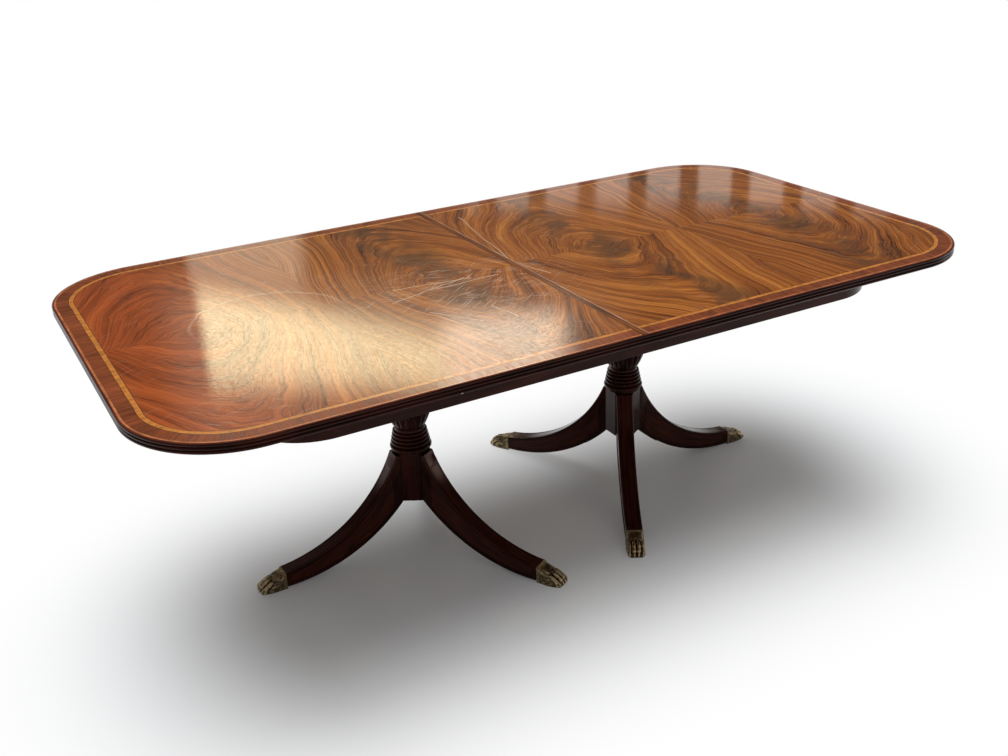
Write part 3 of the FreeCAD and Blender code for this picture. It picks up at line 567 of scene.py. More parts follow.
def scored(x, y, start, end):
    """One long scratch between two places on the top."""
    chord = Vector(end) - Vector(start)
    along, across = turned(x - start[0], y - start[1], chord.normalized())
    past = (abs(along - chord.length / 2) - chord.length / 2).at_least(0.0)
    return hypotenuse(across, past).fade(SCRATCH_WIDTH, 0.3 * SCRATCH_WIDTH)


def worn_marks(graph, place):
    """Scratches of the polish: long ones near the seam, fine ones all over and a pale ring."""
    x, y = graph.parts(place)[:2]
    drift = graph.noise(place, (14.0, 14.0, 14.0), 1.0)["Color"]
    drift_x, drift_y = graph.parts(drift)[:2]
    bent_x = drift_x * SCRATCH_WANDER + (x - SCRATCH_WANDER / 2)
    bent_y = drift_y * SCRATCH_WANDER + (y - SCRATCH_WANDER / 2)
    worn_x = (x - WORN_PLACE[0]) * WORN_FALL[0]
    worn_y = (y - WORN_PLACE[1]) * WORN_FALL[1]
    worn = (worn_x * worn_x + worn_y * worn_y).fade(1.0, 0.1)
    marks = scratches(graph, x, y, (4, 38, 155), 0.722) * worn
    marks = marks.at_least(scratches(graph, x, y, (22, 140), 0.76) * 0.4)
    for start, end in SCRATCHES:
        marks = marks.at_least(scored(bent_x, bent_y, start, end))
    ring_x = bent_x - RING_PLACE[0]
    ring_y = bent_y - RING_PLACE[1]
    from_ring = abs(hypotenuse(ring_x, ring_y) - RING_RADIUS)
    ring = from_ring.fade(0.007, 0.001) * ring_y.fade(-0.05, 0.08)
    return marks.at_least(ring * 0.45)


def waver(graph, across, away, layer, scale):
    """Soft shifts in two directions, up to about a half either way."""
    where = graph.vector(across, away, layer)
    shifts = graph.parts(graph.noise(where, (scale, scale, 1.0), 0.0)["Color"])
    return shifts[0] - 0.5, shifts[1] - 0.5


def flame_figure(graph, side, place):
    """Grain of four matched leaves: rings round a spine, ways from it and from the middle, and the leaf."""
    sizes = bpy.context.scene.table_top
    low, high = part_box("field_veneers_" + side)
    x, y = graph.parts(place)[:2]
    from_middle = x - (low.x + high.x) / 2
    leaf = graph.math("SIGN", from_middle) * 2.0 + graph.math("SIGN", y)
    layer = leaf * 0.10 + 4.0 * SIDES[side]
    across = abs(from_middle)
    away = abs(y)
    spine = sizes.spine_left if side == "left" else sizes.spine_right
    curl = abs(across - spine).fade(0.17, 0.02, 0.0, 0.030)
    for scale, shift in ((3.0, 0.10), (14.0, 0.010), (23.0, curl)):
        shift_x, shift_y = waver(graph, across, away, layer, scale)
        across = shift_x * shift + across
        away = shift_y * shift + away
    offset = across - spine
    softened = graph.math("SQRT", offset * offset + 0.0003)
    bend = (offset < 0.0) * (sizes.inner_bend - sizes.outer_bend) + sizes.outer_bend
    rings = away + softened**sizes.flame_power * bend
    return rings, offset, away, leaf


def flame_finish(side):
    """Flame mahogany of one half under a worn gloss polish."""
    tints = bpy.context.scene.table_finishes
    graph = Finish("flame_mahogany_" + side, coat_roughness=0.035, gloss=0.02)
    place = graph.place()
    rings, offset, away, leaf = flame_figure(graph, side, place)
    figured = graph.vector(rings, offset, leaf)

    def streaks(over_rings, over_spine, detail):
        """One layer of the figure, by its features to a metre."""
        return graph.speckle(figured, (over_rings, over_spine, 0.23), detail, 0.6)

    bands = streaks(11.0, 3.0, 2.0)
    arcs = streaks(36.0, 4.0, 2.0)
    lines = streaks(95.0, 8.0, 3.0)
    fibres = streaks(420.0, 30.0, 1.0)
    pores = streaks(300.0, 70.0, 2.0)
    figure = bands * 0.27 + arcs * 0.20 + lines * 0.33 + fibres * 0.20
    tone = graph.tones(
        figure, (0.39, tints.flame_dark), (0.50, tints.flame_mid), (0.61, tints.flame_light)
    )
    smoke = graph.speckle(graph.vector(offset, away, leaf), (12.0, 7.0, 0.3), 3.0).fade(0.36, 0.60)
    smoke = abs(offset).fade(0.13, 0.015) * smoke * (lines * 1.2 + 0.15)
    tone = graph.mix(smoke * 0.85, tone, tints.flame_spine)
    # Painted shade: towards the left end the flame is toned redder and darker, for the way the light falls
    # there
    shade_reddened = graph.shades(figure, tints.flame_shade_red, (0.39, 0.30), (0.50, 1.0), (0.61, 1.6))
    shaded_left_end = graph.parts(place)[0].fade(-0.45, -1.05, 0.0, 0.85)
    tone = graph.mix(shaded_left_end, tone, shade_reddened)
    marks = worn_marks(graph, place)
    tone = graph.mix(marks * 0.75, tone, tints.scratch)
    haze = graph.speckle(place, (5.0, 5.0, 5.0), 4.0)
    roughness = haze * 0.25 + 0.22 + marks * 0.25
    grit = graph.speckle(place, (150.0, 230.0, 1.0), 4.0, 0.65)
    skin = grit * 0.6 + pores * 0.4
    graph.set("Coat Weight", skin.fade(0.44, 0.58, 1.0, 0.55))
    height = lines * 0.15 + skin - marks
    return graph.close(tone, roughness, height, depth=0.0003, strength=0.11)


def crossband_finish():
    """Crossband veneer with its grain square to the edge, in strips."""
    body = bpy.context.scene.table_finishes.crossband
    graph = Finish("crossband_mahogany", coat_roughness=0.035, gloss=0.02)
    along, inset = edge_path(graph)
    strip = graph.math("FLOOR", along * 7.0)
    streaks = graph.speckle(graph.vector(along, inset, strip), (190.0, 16.0, 1.0), 3.0, 0.65)
    clouds = graph.speckle(graph.vector(along, strip, 0.0), (9.0, 1.0, 1.0), 1.0)
    figure = clouds * 0.4 + streaks * 0.6
    tone = graph.shades(figure, body, (0.36, 0.50), (0.50, 1.0), (0.64, 1.55))
    graph.set("Coat Weight", streaks.fade(0.40, 0.64, 0.9, 0.5))
    return graph.close(tone, streaks * 0.15 + 0.25, streaks, depth=0.0001, strength=0.3)


def satinwood_finish(name, body, lined):
    """Golden satinwood, with a dyed line along each side where it is lined."""
    graph = Finish(name, coat_roughness=0.035, gloss=0.02)
    along, inset = edge_path(graph)
    streaks = graph.speckle(graph.vector(along, inset, 0.0), (12.0, 700.0, 1.0), 3.0, 0.6)
    mottle = graph.speckle(graph.vector(along, inset, 5.0), (60.0, 40.0, 1.0))
    figure = mottle * 0.45 + streaks * 0.55
    tone = graph.shades(figure, body, (0.36, 0.50), (0.50, 1.0), (0.66, 1.35))
    if lined:
        sizes = bpy.context.scene.table_top
        outer = inset < sizes.satinwood_start + sizes.dark_line
        inner = inset > sizes.satinwood_end - sizes.dark_line
        tone = graph.mix(outer.at_least(inner), tone, bpy.context.scene.table_finishes.dark_line)
    graph.set("Coat Weight", mottle.fade(0.40, 0.64, 0.9, 0.5))
    return graph.close(tone, streaks * 0.12 + 0.25, streaks, depth=0.0001, strength=0.3)


def seam_finish():
    """Straight-grained strip beside the seam, rubbed pale along its edge."""
    sizes = bpy.context.scene.table_top
    tints = bpy.context.scene.table_finishes
    graph = Finish("seam_strip", coat=0.7, coat_roughness=0.06, gloss=0.02)
    place = graph.place()
    low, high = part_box("seam_strip")
    x = graph.parts(place)[0]
    streaks = graph.speckle(place, (420.0, 9.0, 40.0), 3.0, 0.6)
    rubbed = graph.speckle(place, (60.0, 14.0, 1.0), 3.0).fade(0.55, 0.75)
    tone = graph.tones(
        streaks, (0.40, tints.flame_dark), (0.62, tints.flame_mid), (0.85, tints.flame_light)
    )
    tone = graph.mix(x < low.x + sizes.seam_line, tone, tints.dark_line)
    edge = x.fade(high.x - sizes.rub_start, high.x - sizes.rub_end)
    tone = graph.mix(edge * (rubbed + 0.6), tone, tints.scratch)
    return graph.close(tone, streaks * 0.2 + 0.3, streaks, depth=0.0002, strength=0.4)


def mahogany_finish():
    """Dark red-brown polish over mahogany, thin and red in places."""
    tints = bpy.context.scene.table_finishes
    graph = Finish("dark_mahogany", coat=0.06, coat_roughness=0.06, gloss=0.18, sheen=tints.sheen)
    grain = graph.grain()
    place = graph.place()
    streaks = graph.speckle(grain, (7.0, 150.0, 150.0), 4.0, 0.6)
    clouds = graph.speckle(grain, (6.0, 22.0, 22.0), 3.0)
    pores = graph.speckle(grain, (40.0, 1300.0, 1300.0), 1.0)
    tone = graph.shades(streaks, tints.mahogany, (0.35, 0.35), (0.62, 1.0))
    thin = (clouds * 0.6 + streaks * 0.4).fade(0.40, 0.64)
    tone = graph.mix(thin * 0.85, tone, tints.mahogany_red)
    worn = graph.carried("worn") * streaks.fade(0.30, 0.62, 0.45, 1.0)
    tone = graph.mix(worn, tone, tints.mahogany_worn)
    from_chip = graph.add("ShaderNodeVectorMath", operation="DISTANCE")
    graph.fill(from_chip, place, tints.chip_place)
    chip = Signal(graph, from_chip.outputs["Value"]).fade(tints.chip_size, 0.5 * tints.chip_size)
    knocks = graph.speckle(grain, (70.0, 260.0, 260.0), 1.0).fade(0.80, 0.84)
    spread = graph.speckle(place, (9.0, 9.0, 9.0), 1.0).fade(0.58, 0.70)
    tone = graph.mix(chip.at_least(knocks * spread * 0.6), tone, tints.scratch)
    return graph.close(tone, clouds * 0.20 + 0.08, pores + streaks, depth=0.0002, strength=0.18)


def secondary_finish():
    """Plain waxed wood of the hidden joinery."""
    body = bpy.context.scene.table_finishes.secondary
    graph = Finish("secondary_wood")
    grain = graph.grain()
    streaks = graph.speckle(grain, (5.0, 130.0, 130.0), 4.0, 0.6)
    clouds = graph.speckle(grain, (2.5, 14.0, 14.0), 3.0)
    figure = clouds * 0.5 + streaks * 0.5
    tone = graph.shades(figure, body, (0.36, 0.42), (0.50, 1.0), (0.66, 1.5))
    return graph.close(tone, streaks * 0.25 + 0.42, streaks, depth=0.0004, strength=0.5)


def brass_finish():
    """Cast brass, rubbed on its ridges and dark in its hollows."""
    tints = bpy.context.scene.table_finishes
    graph = Finish("antique_brass", metallic=1.0)
    place = graph.place()
    grain = graph.grain()
    along = graph.parts(grain)[0]
    back = along.fade(0.008, 0.016) * along.fade(0.056, 0.036)
    fur = (graph.speckle(grain, (55.0, 520.0, 260.0)) - 0.5) * back
    grime = graph.speckle(place, (160.0, 160.0, 160.0), 4.0)
    pits = graph.speckle(place, (900.0, 900.0, 900.0))
    rubbed = graph.carried("relief") + (grime - 0.5) * 0.5 + fur * 1.2
    middle = [0.30 * dark + 0.24 * bright for dark, bright in zip(tints.brass_dark, tints.brass)]
    tone = graph.tones(rubbed, (0.25, tints.brass_dark), (0.52, middle), (0.80, tints.brass))
    roughness = rubbed.fade(0.3, 0.8, 0.52, 0.27)
    return graph.close(tone, roughness, fur * 6.0 + pits, depth=0.0003, strength=0.5)


def metal_finish(name, body, roughness, metallic=1.0):
    """Plain metal of a fitting, spotted and a little worn."""
    graph = Finish(name, metallic=metallic)
    spots = graph.speckle(graph.place(), (220.0, 220.0, 220.0), 4.0, 0.6)
    tone = graph.shades(spots, body, (0.35, 0.45), (0.52, 1.0), (0.68, 1.3))
    return graph.close(tone, (spots - 0.5) * 0.3 + roughness, spots, depth=0.0003, strength=0.3)


def finish(name):
    """A finish by its name, made when it is first asked for."""
    tints = bpy.context.scene.table_finishes
    makers = {
        "flame_mahogany_left": lambda: flame_finish("left"),
        "flame_mahogany_right": lambda: flame_finish("right"),
        "crossband_mahogany": crossband_finish,
        "satinwood": lambda: satinwood_finish("satinwood", tints.satinwood, True),
        "stringing": lambda: satinwood_finish("stringing", tints.stringing, False),
        "seam_strip": seam_finish,
        "dark_mahogany": mahogany_finish,
        "secondary_wood": secondary_finish,
        "antique_brass": brass_finish,
        "pin_brass": lambda: metal_finish("pin_brass", tints.pin_brass, 0.34),
        "black_iron": lambda: metal_finish("black_iron", tints.iron, 0.62, 0.6),
        "fastener_steel": lambda: metal_finish("fastener_steel", tints.steel, 0.45),
    }
    return bpy.data.materials.get(name + "_finish") or makers[name]()


def body_of(node):
    """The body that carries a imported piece."""
    for body, members in record["behaviour"]["bodies"].items():
        if node in members:
            return body
    raise ValueError("no body carries " + node)


def slot_of(node):
    """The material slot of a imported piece."""
    return next(part["material_slot"] for part in record["subparts"] if part["node"] == node)


def add_object(name, data):
    """A new object in the scene."""
    item = bpy.data.objects.new(name, data)
    bpy.context.scene.collection.objects.link(item)
    return item


def add_piece(name, mesh, body, slot, material):
    """A new piece of the table on one of its bodies."""
    piece = add_object(name, mesh)
    mesh.materials.clear()
    mesh.materials.append(finish(material))
    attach(piece, body)
    return piece


def add_stand_in(name, mesh, node, material):
    """A new piece that stands for a packed one."""
    piece = add_piece(name, mesh, body_of(node), slot_of(node), material)
    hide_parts(node)
    return piece


def dress(node, material):
    """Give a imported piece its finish."""
    frame["nodes"][node].material_slots[0].material = finish(material)


def points_of(mesh):
    """Places of the vertices of a mesh."""
    places = np.empty(len(mesh.vertices) * 3)
    mesh.vertices.foreach_get("co", places)
    return places.reshape(-1, 3)


def store(mesh, name, numbers):
    """Keep a number for each vertex of a mesh."""
    layer = mesh.attributes.new(name, "FLOAT", "POINT")
    layer.data.foreach_set("value", np.asarray(numbers, np.float32))


def store_grain(mesh, along, across, depth):
    """Keep the way that the wood runs on a mesh."""
    layer = mesh.attributes.new("grain", "FLOAT_VECTOR", "POINT")
    layer.data.foreach_set("vector", np.column_stack((along, across, depth)).astype(np.float32).ravel())


def smooth_by_angle(mesh, turn=35.0):
    """Smooth shading that keeps the sharp edges."""
    mesh.shade_smooth()
    mesh.set_sharp_from_angle(angle=math.radians(turn))


def merged_copy(node):
    """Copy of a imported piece's mesh with its triangles joined into whole faces."""
    mesh = frame["nodes"][node].data.copy()
    if "custom_normal" in mesh.attributes:
        mesh.attributes.remove(mesh.attributes["custom_normal"])
    work = bmesh.new()
    work.from_mesh(mesh)
    bmesh.ops.remove_doubles(work, verts=work.verts, dist=1e-6)
    bmesh.ops.dissolve_limit(work, angle_limit=math.radians(0.2), verts=work.verts, edges=work.edges)
    work.to_mesh(mesh)
    work.free()
    smooth_by_angle(mesh)
    return mesh


def plain_mesh(holder):
    """Mesh of an object with its modifiers applied, which takes the place of the object."""
    source = holder.data
    depsgraph = bpy.context.evaluated_depsgraph_get()
    mesh = bpy.data.meshes.new_from_object(holder.evaluated_get(depsgraph), depsgraph=depsgraph)
    holder.modifiers.clear()
    bpy.data.objects.remove(holder)
    bpy.data.meshes.remove(source)
    return mesh


def modelled_mesh(name, work):
    """Mesh of what was modelled, which is then let go."""
    mesh = bpy.data.meshes.new(name)
    work.to_mesh(mesh)
    work.free()
    return mesh


def loft(work, rings):
    """Skin a row of rings of places, and close its ends."""
    rings = [[work.verts.new(place) for place in ring] for ring in rings]
    for ring, following in zip(rings, rings[1:]):
        for corner in range(len(ring)):
            past = (corner + 1) % len(ring)
            work.faces.new((ring[corner], ring[past], following[past], following[corner]))
    work.faces.new(rings[0][::-1])
    work.faces.new(rings[-1])


def ease_edges(piece, width):
    """Soften the arrises of a piece of joinery."""
    bevel = piece.modifiers.new("eased_edges", "BEVEL")
    bevel.width = width
    bevel.segments = 2
    bevel.limit_method = "ANGLE"
    bevel.angle_limit = math.radians(40)
    bevel.harden_normals = True


class Recipe(Graph):
    """Geometry node tree with named inputs."""

    def __init__(self, name):
        super().__init__(bpy.data.node_groups.new(name, "GeometryNodeTree"))
        self.identifiers = {}
        self.start = self.add("NodeGroupInput")
        self.end = self.add("NodeGroupOutput")
        self.shape = self.input("Geometry", "NodeSocketGeometry")
        self.tree.interface.new_socket("Geometry", in_out="OUTPUT", socket_type="NodeSocketGeometry")

    def input(self, name, kind="NodeSocketFloat"):
        """A named input of the tree."""
        socket = self.tree.interface.new_socket(name, in_out="INPUT", socket_type=kind)
        self.identifiers[name] = socket.identifier
        return Signal(self, self.start.outputs[name])

    def close(self, shape):
        """Realize what is instanced, give it the material and end the tree."""
        material = self.input("Material", "NodeSocketMaterial")
        real = self.step("GeometryNodeRealizeInstances", {"Geometry": shape})
        dressed = self.step("GeometryNodeSetMaterial", {"Geometry": real, "Material": material})
        self.put(self.end.inputs["Geometry"], dressed)

    def make(self, source, values):
        """Run the tree on a mesh and give the plain mesh that comes out."""
        holder = add_object(self.tree.name, source)
        modifier = holder.modifiers.new("recipe", "NODES")
        modifier.node_group = self.tree
        for name, value in values.items():
            modifier[self.identifiers[name]] = value
        return plain_mesh(holder)


def wire(name, points, closed):
    """Mesh of points joined by edges in a row."""
    last = len(points) - 1
    edges = [(index, index + 1) for index in range(last)]
    if closed:
        edges.append((last, 0))
    mesh = bpy.data.meshes.new(name)
    mesh.from_pydata([(x, y, 0.0) for x, y in points], edges, [])
    return mesh


def swell(start, end, rise, steps):
    """Points of an arc that stands out from its chord by rise, without its first point."""
    start = np.array(start)
    chord = np.array(end) - start
    half = np.hypot(*chord) / 2
    outward = np.array((chord[1], -chord[0])) / (2 * half)
    radius = (half**2 + rise**2) / (2 * rise)
    centre = start + chord / 2 + outward * (rise - radius)
    whole = 2 * math.atan2(half, radius - rise) if rise > 0 else -2 * math.atan2(half, rise - radius)
    points = []
    for step in range(1, steps + 1):
        spoke = turned(*(start - centre), heading(-math.degrees(whole * step / steps)))
        points.append((centre[0] + spoke[0], centre[1] + spoke[1]))
    return points


def moulding_recipe():
    """Tree that carries a section round one half of the top."""
    recipe = Recipe("edge_moulding")
    near = recipe.input("Near")
    far = recipe.input("Far")
    half_width = recipe.input("Half width")
    radius = recipe.input("Corner radius")
    steps = recipe.input("Corner steps", "NodeSocketInt")
    start_y = half_width * -1.0
    corners = {
        "Point 1": recipe.vector(near, start_y, 0.0),
        "Point 2": recipe.vector(far, start_y, 0.0),
        "Point 3": recipe.vector(far, half_width, 0.0),
        "Point 4": recipe.vector(near, half_width, 0.0),
    }
    plan = recipe.step("GeometryNodeCurvePrimitiveQuadrilateral", corners, mode="POINTS")
    plan = recipe.step("GeometryNodeSetSplineCyclic", {"Geometry": plan, "Cyclic": False})
    rounding = {"Curve": plan, "Count": steps, "Radius": radius}
    path = recipe.step("GeometryNodeFilletCurve", rounding, mode="POLY")
    path = recipe.step("GeometryNodeSetCurveNormal", {"Curve": path}, mode="Z_UP")
    along = recipe.add("GeometryNodeSplineParameter").outputs["Length"]
    carried = {"Geometry": path, "Name": "along", "Value": along}
    path = recipe.step("GeometryNodeStoreNamedAttribute", carried)
    section = recipe.step("GeometryNodeMeshToCurve", {"Mesh": recipe.shape})
    sweep = {"Curve": path, "Profile Curve": section, "Fill Caps": True}
    recipe.close(recipe.step("GeometryNodeCurveToMesh", sweep))
    return recipe


def column_recipe():
    """Tree that turns a half section about the upright axis and carves lobes round its bowl."""
    recipe = Recipe("turned_column")
    steps = recipe.input("Steps", "NodeSocketInt")
    lobes = recipe.input("Lobes", "NodeSocketInt")
    depth = recipe.input("Lobe depth")
    foot = recipe.input("Bowl foot")
    belly = recipe.input("Bowl belly")
    section = recipe.step("GeometryNodeMeshToCurve", {"Mesh": recipe.shape})
    ring = recipe.step("GeometryNodeCurvePrimitiveCircle", {"Resolution": steps, "Radius": 1.0})
    ring = recipe.step("GeometryNodeSetCurveNormal", {"Curve": ring}, mode="Z_UP")
    column = recipe.step("GeometryNodeCurveToMesh", {"Curve": ring, "Profile Curve": section})
    column = recipe.step("GeometryNodeMergeByDistance", {"Geometry": column, "Distance": 1e-6})
    x, y, z = recipe.parts(recipe.step("GeometryNodeInputPosition"))
    turn = recipe.math("ARCTAN2", y, x)
    groove = abs(recipe.math("COSINE", turn * (lobes * 0.5))) ** 7.0
    climb = ((z - foot) / (belly - foot)).at_least(0.0).at_most(1.0)
    bowl = recipe.math("SINE", climb * math.pi).at_least(0.0)
    cut = groove * depth * bowl * -1.0
    shift = recipe.vector(recipe.math("COSINE", turn) * cut, recipe.math("SINE", turn) * cut, 0.0)
    recipe.close(recipe.step("GeometryNodeSetPosition", {"Geometry": column, "Offset": shift}))
    return recipe


def screw_recipe():
    """Tree that sets a slotted screw head, facing down, on each point."""
    recipe = Recipe("slotted_screws")
    diameter = recipe.input("Head")
    height = recipe.input("Head height")
    slot = recipe.input("Slot")
    rim = diameter * 0.5
    crown = diameter * 0.36
    cone = {"Vertices": 20, "Radius Top": rim, "Radius Bottom": crown, "Depth": height}
    head = recipe.step("GeometryNodeMeshCone", cone)
    blade = recipe.step("GeometryNodeMeshCube", {"Size": recipe.vector(diameter * 2.0, slot, height)})
    lowered = recipe.vector(0.0, 0.0, height * -0.5)
    blade = recipe.step("GeometryNodeTransform", {"Geometry": blade, "Translation": lowered})
    parts = {"Mesh 1": head, "Mesh 2": blade}
    slotted = recipe.step("GeometryNodeMeshBoolean", parts, operation="DIFFERENCE", solver="EXACT")
    spin = recipe.add("FunctionNodeRandomValue", data_type="FLOAT")
    spin.inputs["Max"].default_value = math.pi
    spin.inputs["Seed"].default_value = 7
    turn = recipe.vector(0.0, 0.0, spin.outputs["Value"])
    placed = {"Points": recipe.shape, "Instance": slotted, "Rotation": turn}
    recipe.close(recipe.step("GeometryNodeInstanceOnPoints", placed))
    return recipe


class TABLE_OT_veneers(bpy.types.Operator):
    """Finish the flame leaves, the inlaid bands and the strip beside the seam"""

    bl_idname = "table.veneers"
    bl_label = "Veneers"

    def execute(self, context):
        for side in SIDES:
            dress("field_veneers_" + side, "flame_mahogany_" + side)
            dress("crossband_" + side, "crossband_mahogany")
            dress("satinwood_band_" + side, "satinwood")
            dress("stringing_" + side, "stringing")
        dress("seam_strip", "seam_strip")
        return {"FINISHED"}


class TABLE_OT_reeded_edges(bpy.types.Operator):
    """Carry the reeded moulding round each half"""

    bl_idname = "table.reeded_edges"
    bl_label = "Reeded edges"

    def section(self, sizes):
        """Section of the moulding as (outwards, height)."""
        low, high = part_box("reeded_edge_right")
        reed = (high.z - low.z) / sizes.reed_count
        points = [(-sizes.edge_width, low.z), (-sizes.reed_depth, low.z)]
        for index in range(1, sizes.reed_count + 1):
            points += swell(points[-1], (-sizes.reed_depth, low.z + index * reed), sizes.reed_depth, 9)
        ledge = high.z - sizes.veneer
        points += [(-sizes.nose_width, high.z), (-sizes.nose_width, ledge), (-sizes.edge_width, ledge)]
        return points

    def execute(self, context):
        sizes = context.scene.table_top
        recipe = moulding_recipe()
        section = [(outward, -height) for outward, height in self.section(sizes)]
        for side, way in SIDES.items():
            values = {
                "Near": way * sizes.seam_gap / 2,
                "Far": way * cad_box[1].x,
                "Half width": way * cad_box[1].y,
                "Corner radius": sizes.corner_radius,
                "Corner steps": 40,
                "Material": finish("dark_mahogany"),
            }
            mesh = recipe.make(wire("reeded_section", section, True), values)
            along = np.empty(len(mesh.vertices))
            mesh.attributes["along"].data.foreach_get("value", along)
            mesh.attributes.remove(mesh.attributes["along"])
            height = points_of(mesh)[:, 2]
            store_grain(mesh, along, height, np.zeros(len(along)))
            store(mesh, "worn", MOULDING_WORN * (height > cad_box[1].z - sizes.veneer / 2))
            smooth_by_angle(mesh)
            add_stand_in("reeded_moulding_" + side, mesh, "reeded_edge_" + side, "dark_mahogany")
        return {"FINISHED"}


class TABLE_OT_columns(bpy.types.Operator):
    """Turn the columns with their rings and lobed urns"""

    bl_idname = "table.columns"
    bl_label = "Columns"

    def section(self, sizes):
        """Half section of the column as (radius, height), and the levels of the bowl."""
        level = sizes.hub_top + sizes.foot_height
        points = [(0.0, sizes.hub_top), (sizes.foot_radius, sizes.hub_top), (sizes.foot_radius, level)]
        groove = sizes.bead_radius - sizes.ring_groove - sizes.ring_step
        level += sizes.bead_height
        points += swell(points[-1], (groove, level), sizes.bead_height / 2, 12)
        for ring in range(sizes.ring_count):
            level += sizes.ring_height
            groove -= sizes.ring_step
            points += swell(points[-1], (groove, level), sizes.ring_swell, 10)
        foot = level + sizes.neck_height
        belly = foot + sizes.urn_rise
        lip = belly + sizes.urn_fall
        points += swell(points[-1], (sizes.neck_radius, foot), -sizes.neck_hollow, 6)
        points += swell(points[-1], (sizes.urn_radius, belly), sizes.bowl_swell, 24)
        points += swell(points[-1], (sizes.lip_radius, lip), sizes.shoulder_swell, 16)
        collar = sizes.collar_radius - sizes.collar_height / 2
        points.append((collar, lip))
        points += swell(points[-1], (collar, lip + sizes.collar_height), sizes.collar_height / 2, 10)
        points.append((sizes.shaft_radius, lip + sizes.collar_height))
        cap_level = sizes.plate_bottom - sizes.cap_height
        cap_root = sizes.cap_radius - sizes.cap_bead / 2
        points += swell(points[-1], (cap_root, cap_level - sizes.cap_bead), -sizes.shaft_hollow, 16)
        points += swell(points[-1], (cap_root, cap_level), sizes.cap_bead / 2, 10)
        points += [(sizes.cap_radius, cap_level), (sizes.cap_radius, sizes.plate_bottom)]
        points.append((0.0, sizes.plate_bottom))
        return points, foot, belly

    def execute(self, context):
        sizes = context.scene.table_pedestals
        points, foot, belly = self.section(sizes)
        section = [(radius - 1.0, -height) for radius, height in points]
        recipe = column_recipe()
        values = {
            "Steps": 12 * sizes.lobe_count,
            "Lobes": sizes.lobe_count,
            "Lobe depth": sizes.lobe_depth,
            "Bowl foot": foot,
            "Bowl belly": belly,
            "Material": finish("dark_mahogany"),
        }
        for side, way in SIDES.items():
            mesh = recipe.make(wire("column_section", section, False), values)
            mesh.transform(Matrix.Translation((way * sizes.offset, 0.0, 0.0)))
            x, y, z = points_of(mesh).T
            store_grain(mesh, z, x, y)
            smooth_by_angle(mesh)
            add_stand_in("turned_column_" + side, mesh, "column_" + side, "dark_mahogany")
        return {"FINISHED"}


class TABLE_OT_aprons(bpy.types.Operator):
    """Finish the rails and bent ends of the apron"""

    bl_idname = "table.aprons"
    bl_label = "Aprons"

    def execute(self, context):
        for side in SIDES:
            low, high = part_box("apron_end_" + side)
            for place in ("front", "back", "end"):
                node = "apron_%s_%s" % (place, side)
                mesh = merged_copy(node)
                x, y, z = points_of(mesh).T
                if place == "end":
                    turn = np.arctan2(y, x - (low.x + high.x) / 2)
                    store_grain(mesh, turn * (high.y - low.y) / 2, z, x)
                else:
                    store_grain(mesh, x, z, y)
                add_stand_in("apron_board_%s_%s" % (place, side), mesh, node, "dark_mahogany")
        return {"FINISHED"}


class TABLE_OT_legs(bpy.types.Operator):
    """Finish the blocks and the sabre legs with the grain along each sweep"""

    bl_idname = "table.legs"
    bl_label = "Legs"

    def sweep_centre(self, sizes):
        """Centre of the sweep of a leg's top edge, as (reach, height)."""
        start = np.array((sizes.leg_shoulder, sizes.leg_top))
        chord = np.array((sizes.ankle_reach, sizes.ankle_top)) - start
        half = np.hypot(*chord) / 2
        upward = np.array((-chord[1], chord[0])) / (2 * half)
        return start + chord / 2 + upward * math.sqrt(sizes.leg_sweep**2 - half**2)

    def execute(self, context):
        sizes = context.scene.table_pedestals
        centre_reach, centre_height = self.sweep_centre(sizes)
        for side, way in SIDES.items():
            hub = merged_copy("hub_" + side)
            x, y, z = points_of(hub).T
            store_grain(hub, z, x, y)
            piece = add_stand_in("hub_block_" + side, hub, "hub_" + side, "dark_mahogany")
            ease_edges(piece, sizes.edge_ease)
            for name, turn in LEG_TURNS[side].items():
                node = "leg_%s_%s" % (name, side)
                mesh = merged_copy(node)
                x, y, z = points_of(mesh).T
                reach, aside = turned(x - way * sizes.offset, y, heading(turn))
                from_centre = np.hypot(reach - centre_reach, z - centre_height)
                along = np.arctan2(reach - centre_reach, centre_height - z) * sizes.leg_sweep
                store_grain(mesh, along, from_centre, aside)
                side_face = np.abs(aside).max() - sizes.panel_depth / 2
                store(mesh, "worn", PANEL_WORN * (np.abs(aside) < side_face))
                add_stand_in("sabre_leg_%s_%s" % (name, side), mesh, node, "dark_mahogany")
        return {"FINISHED"}


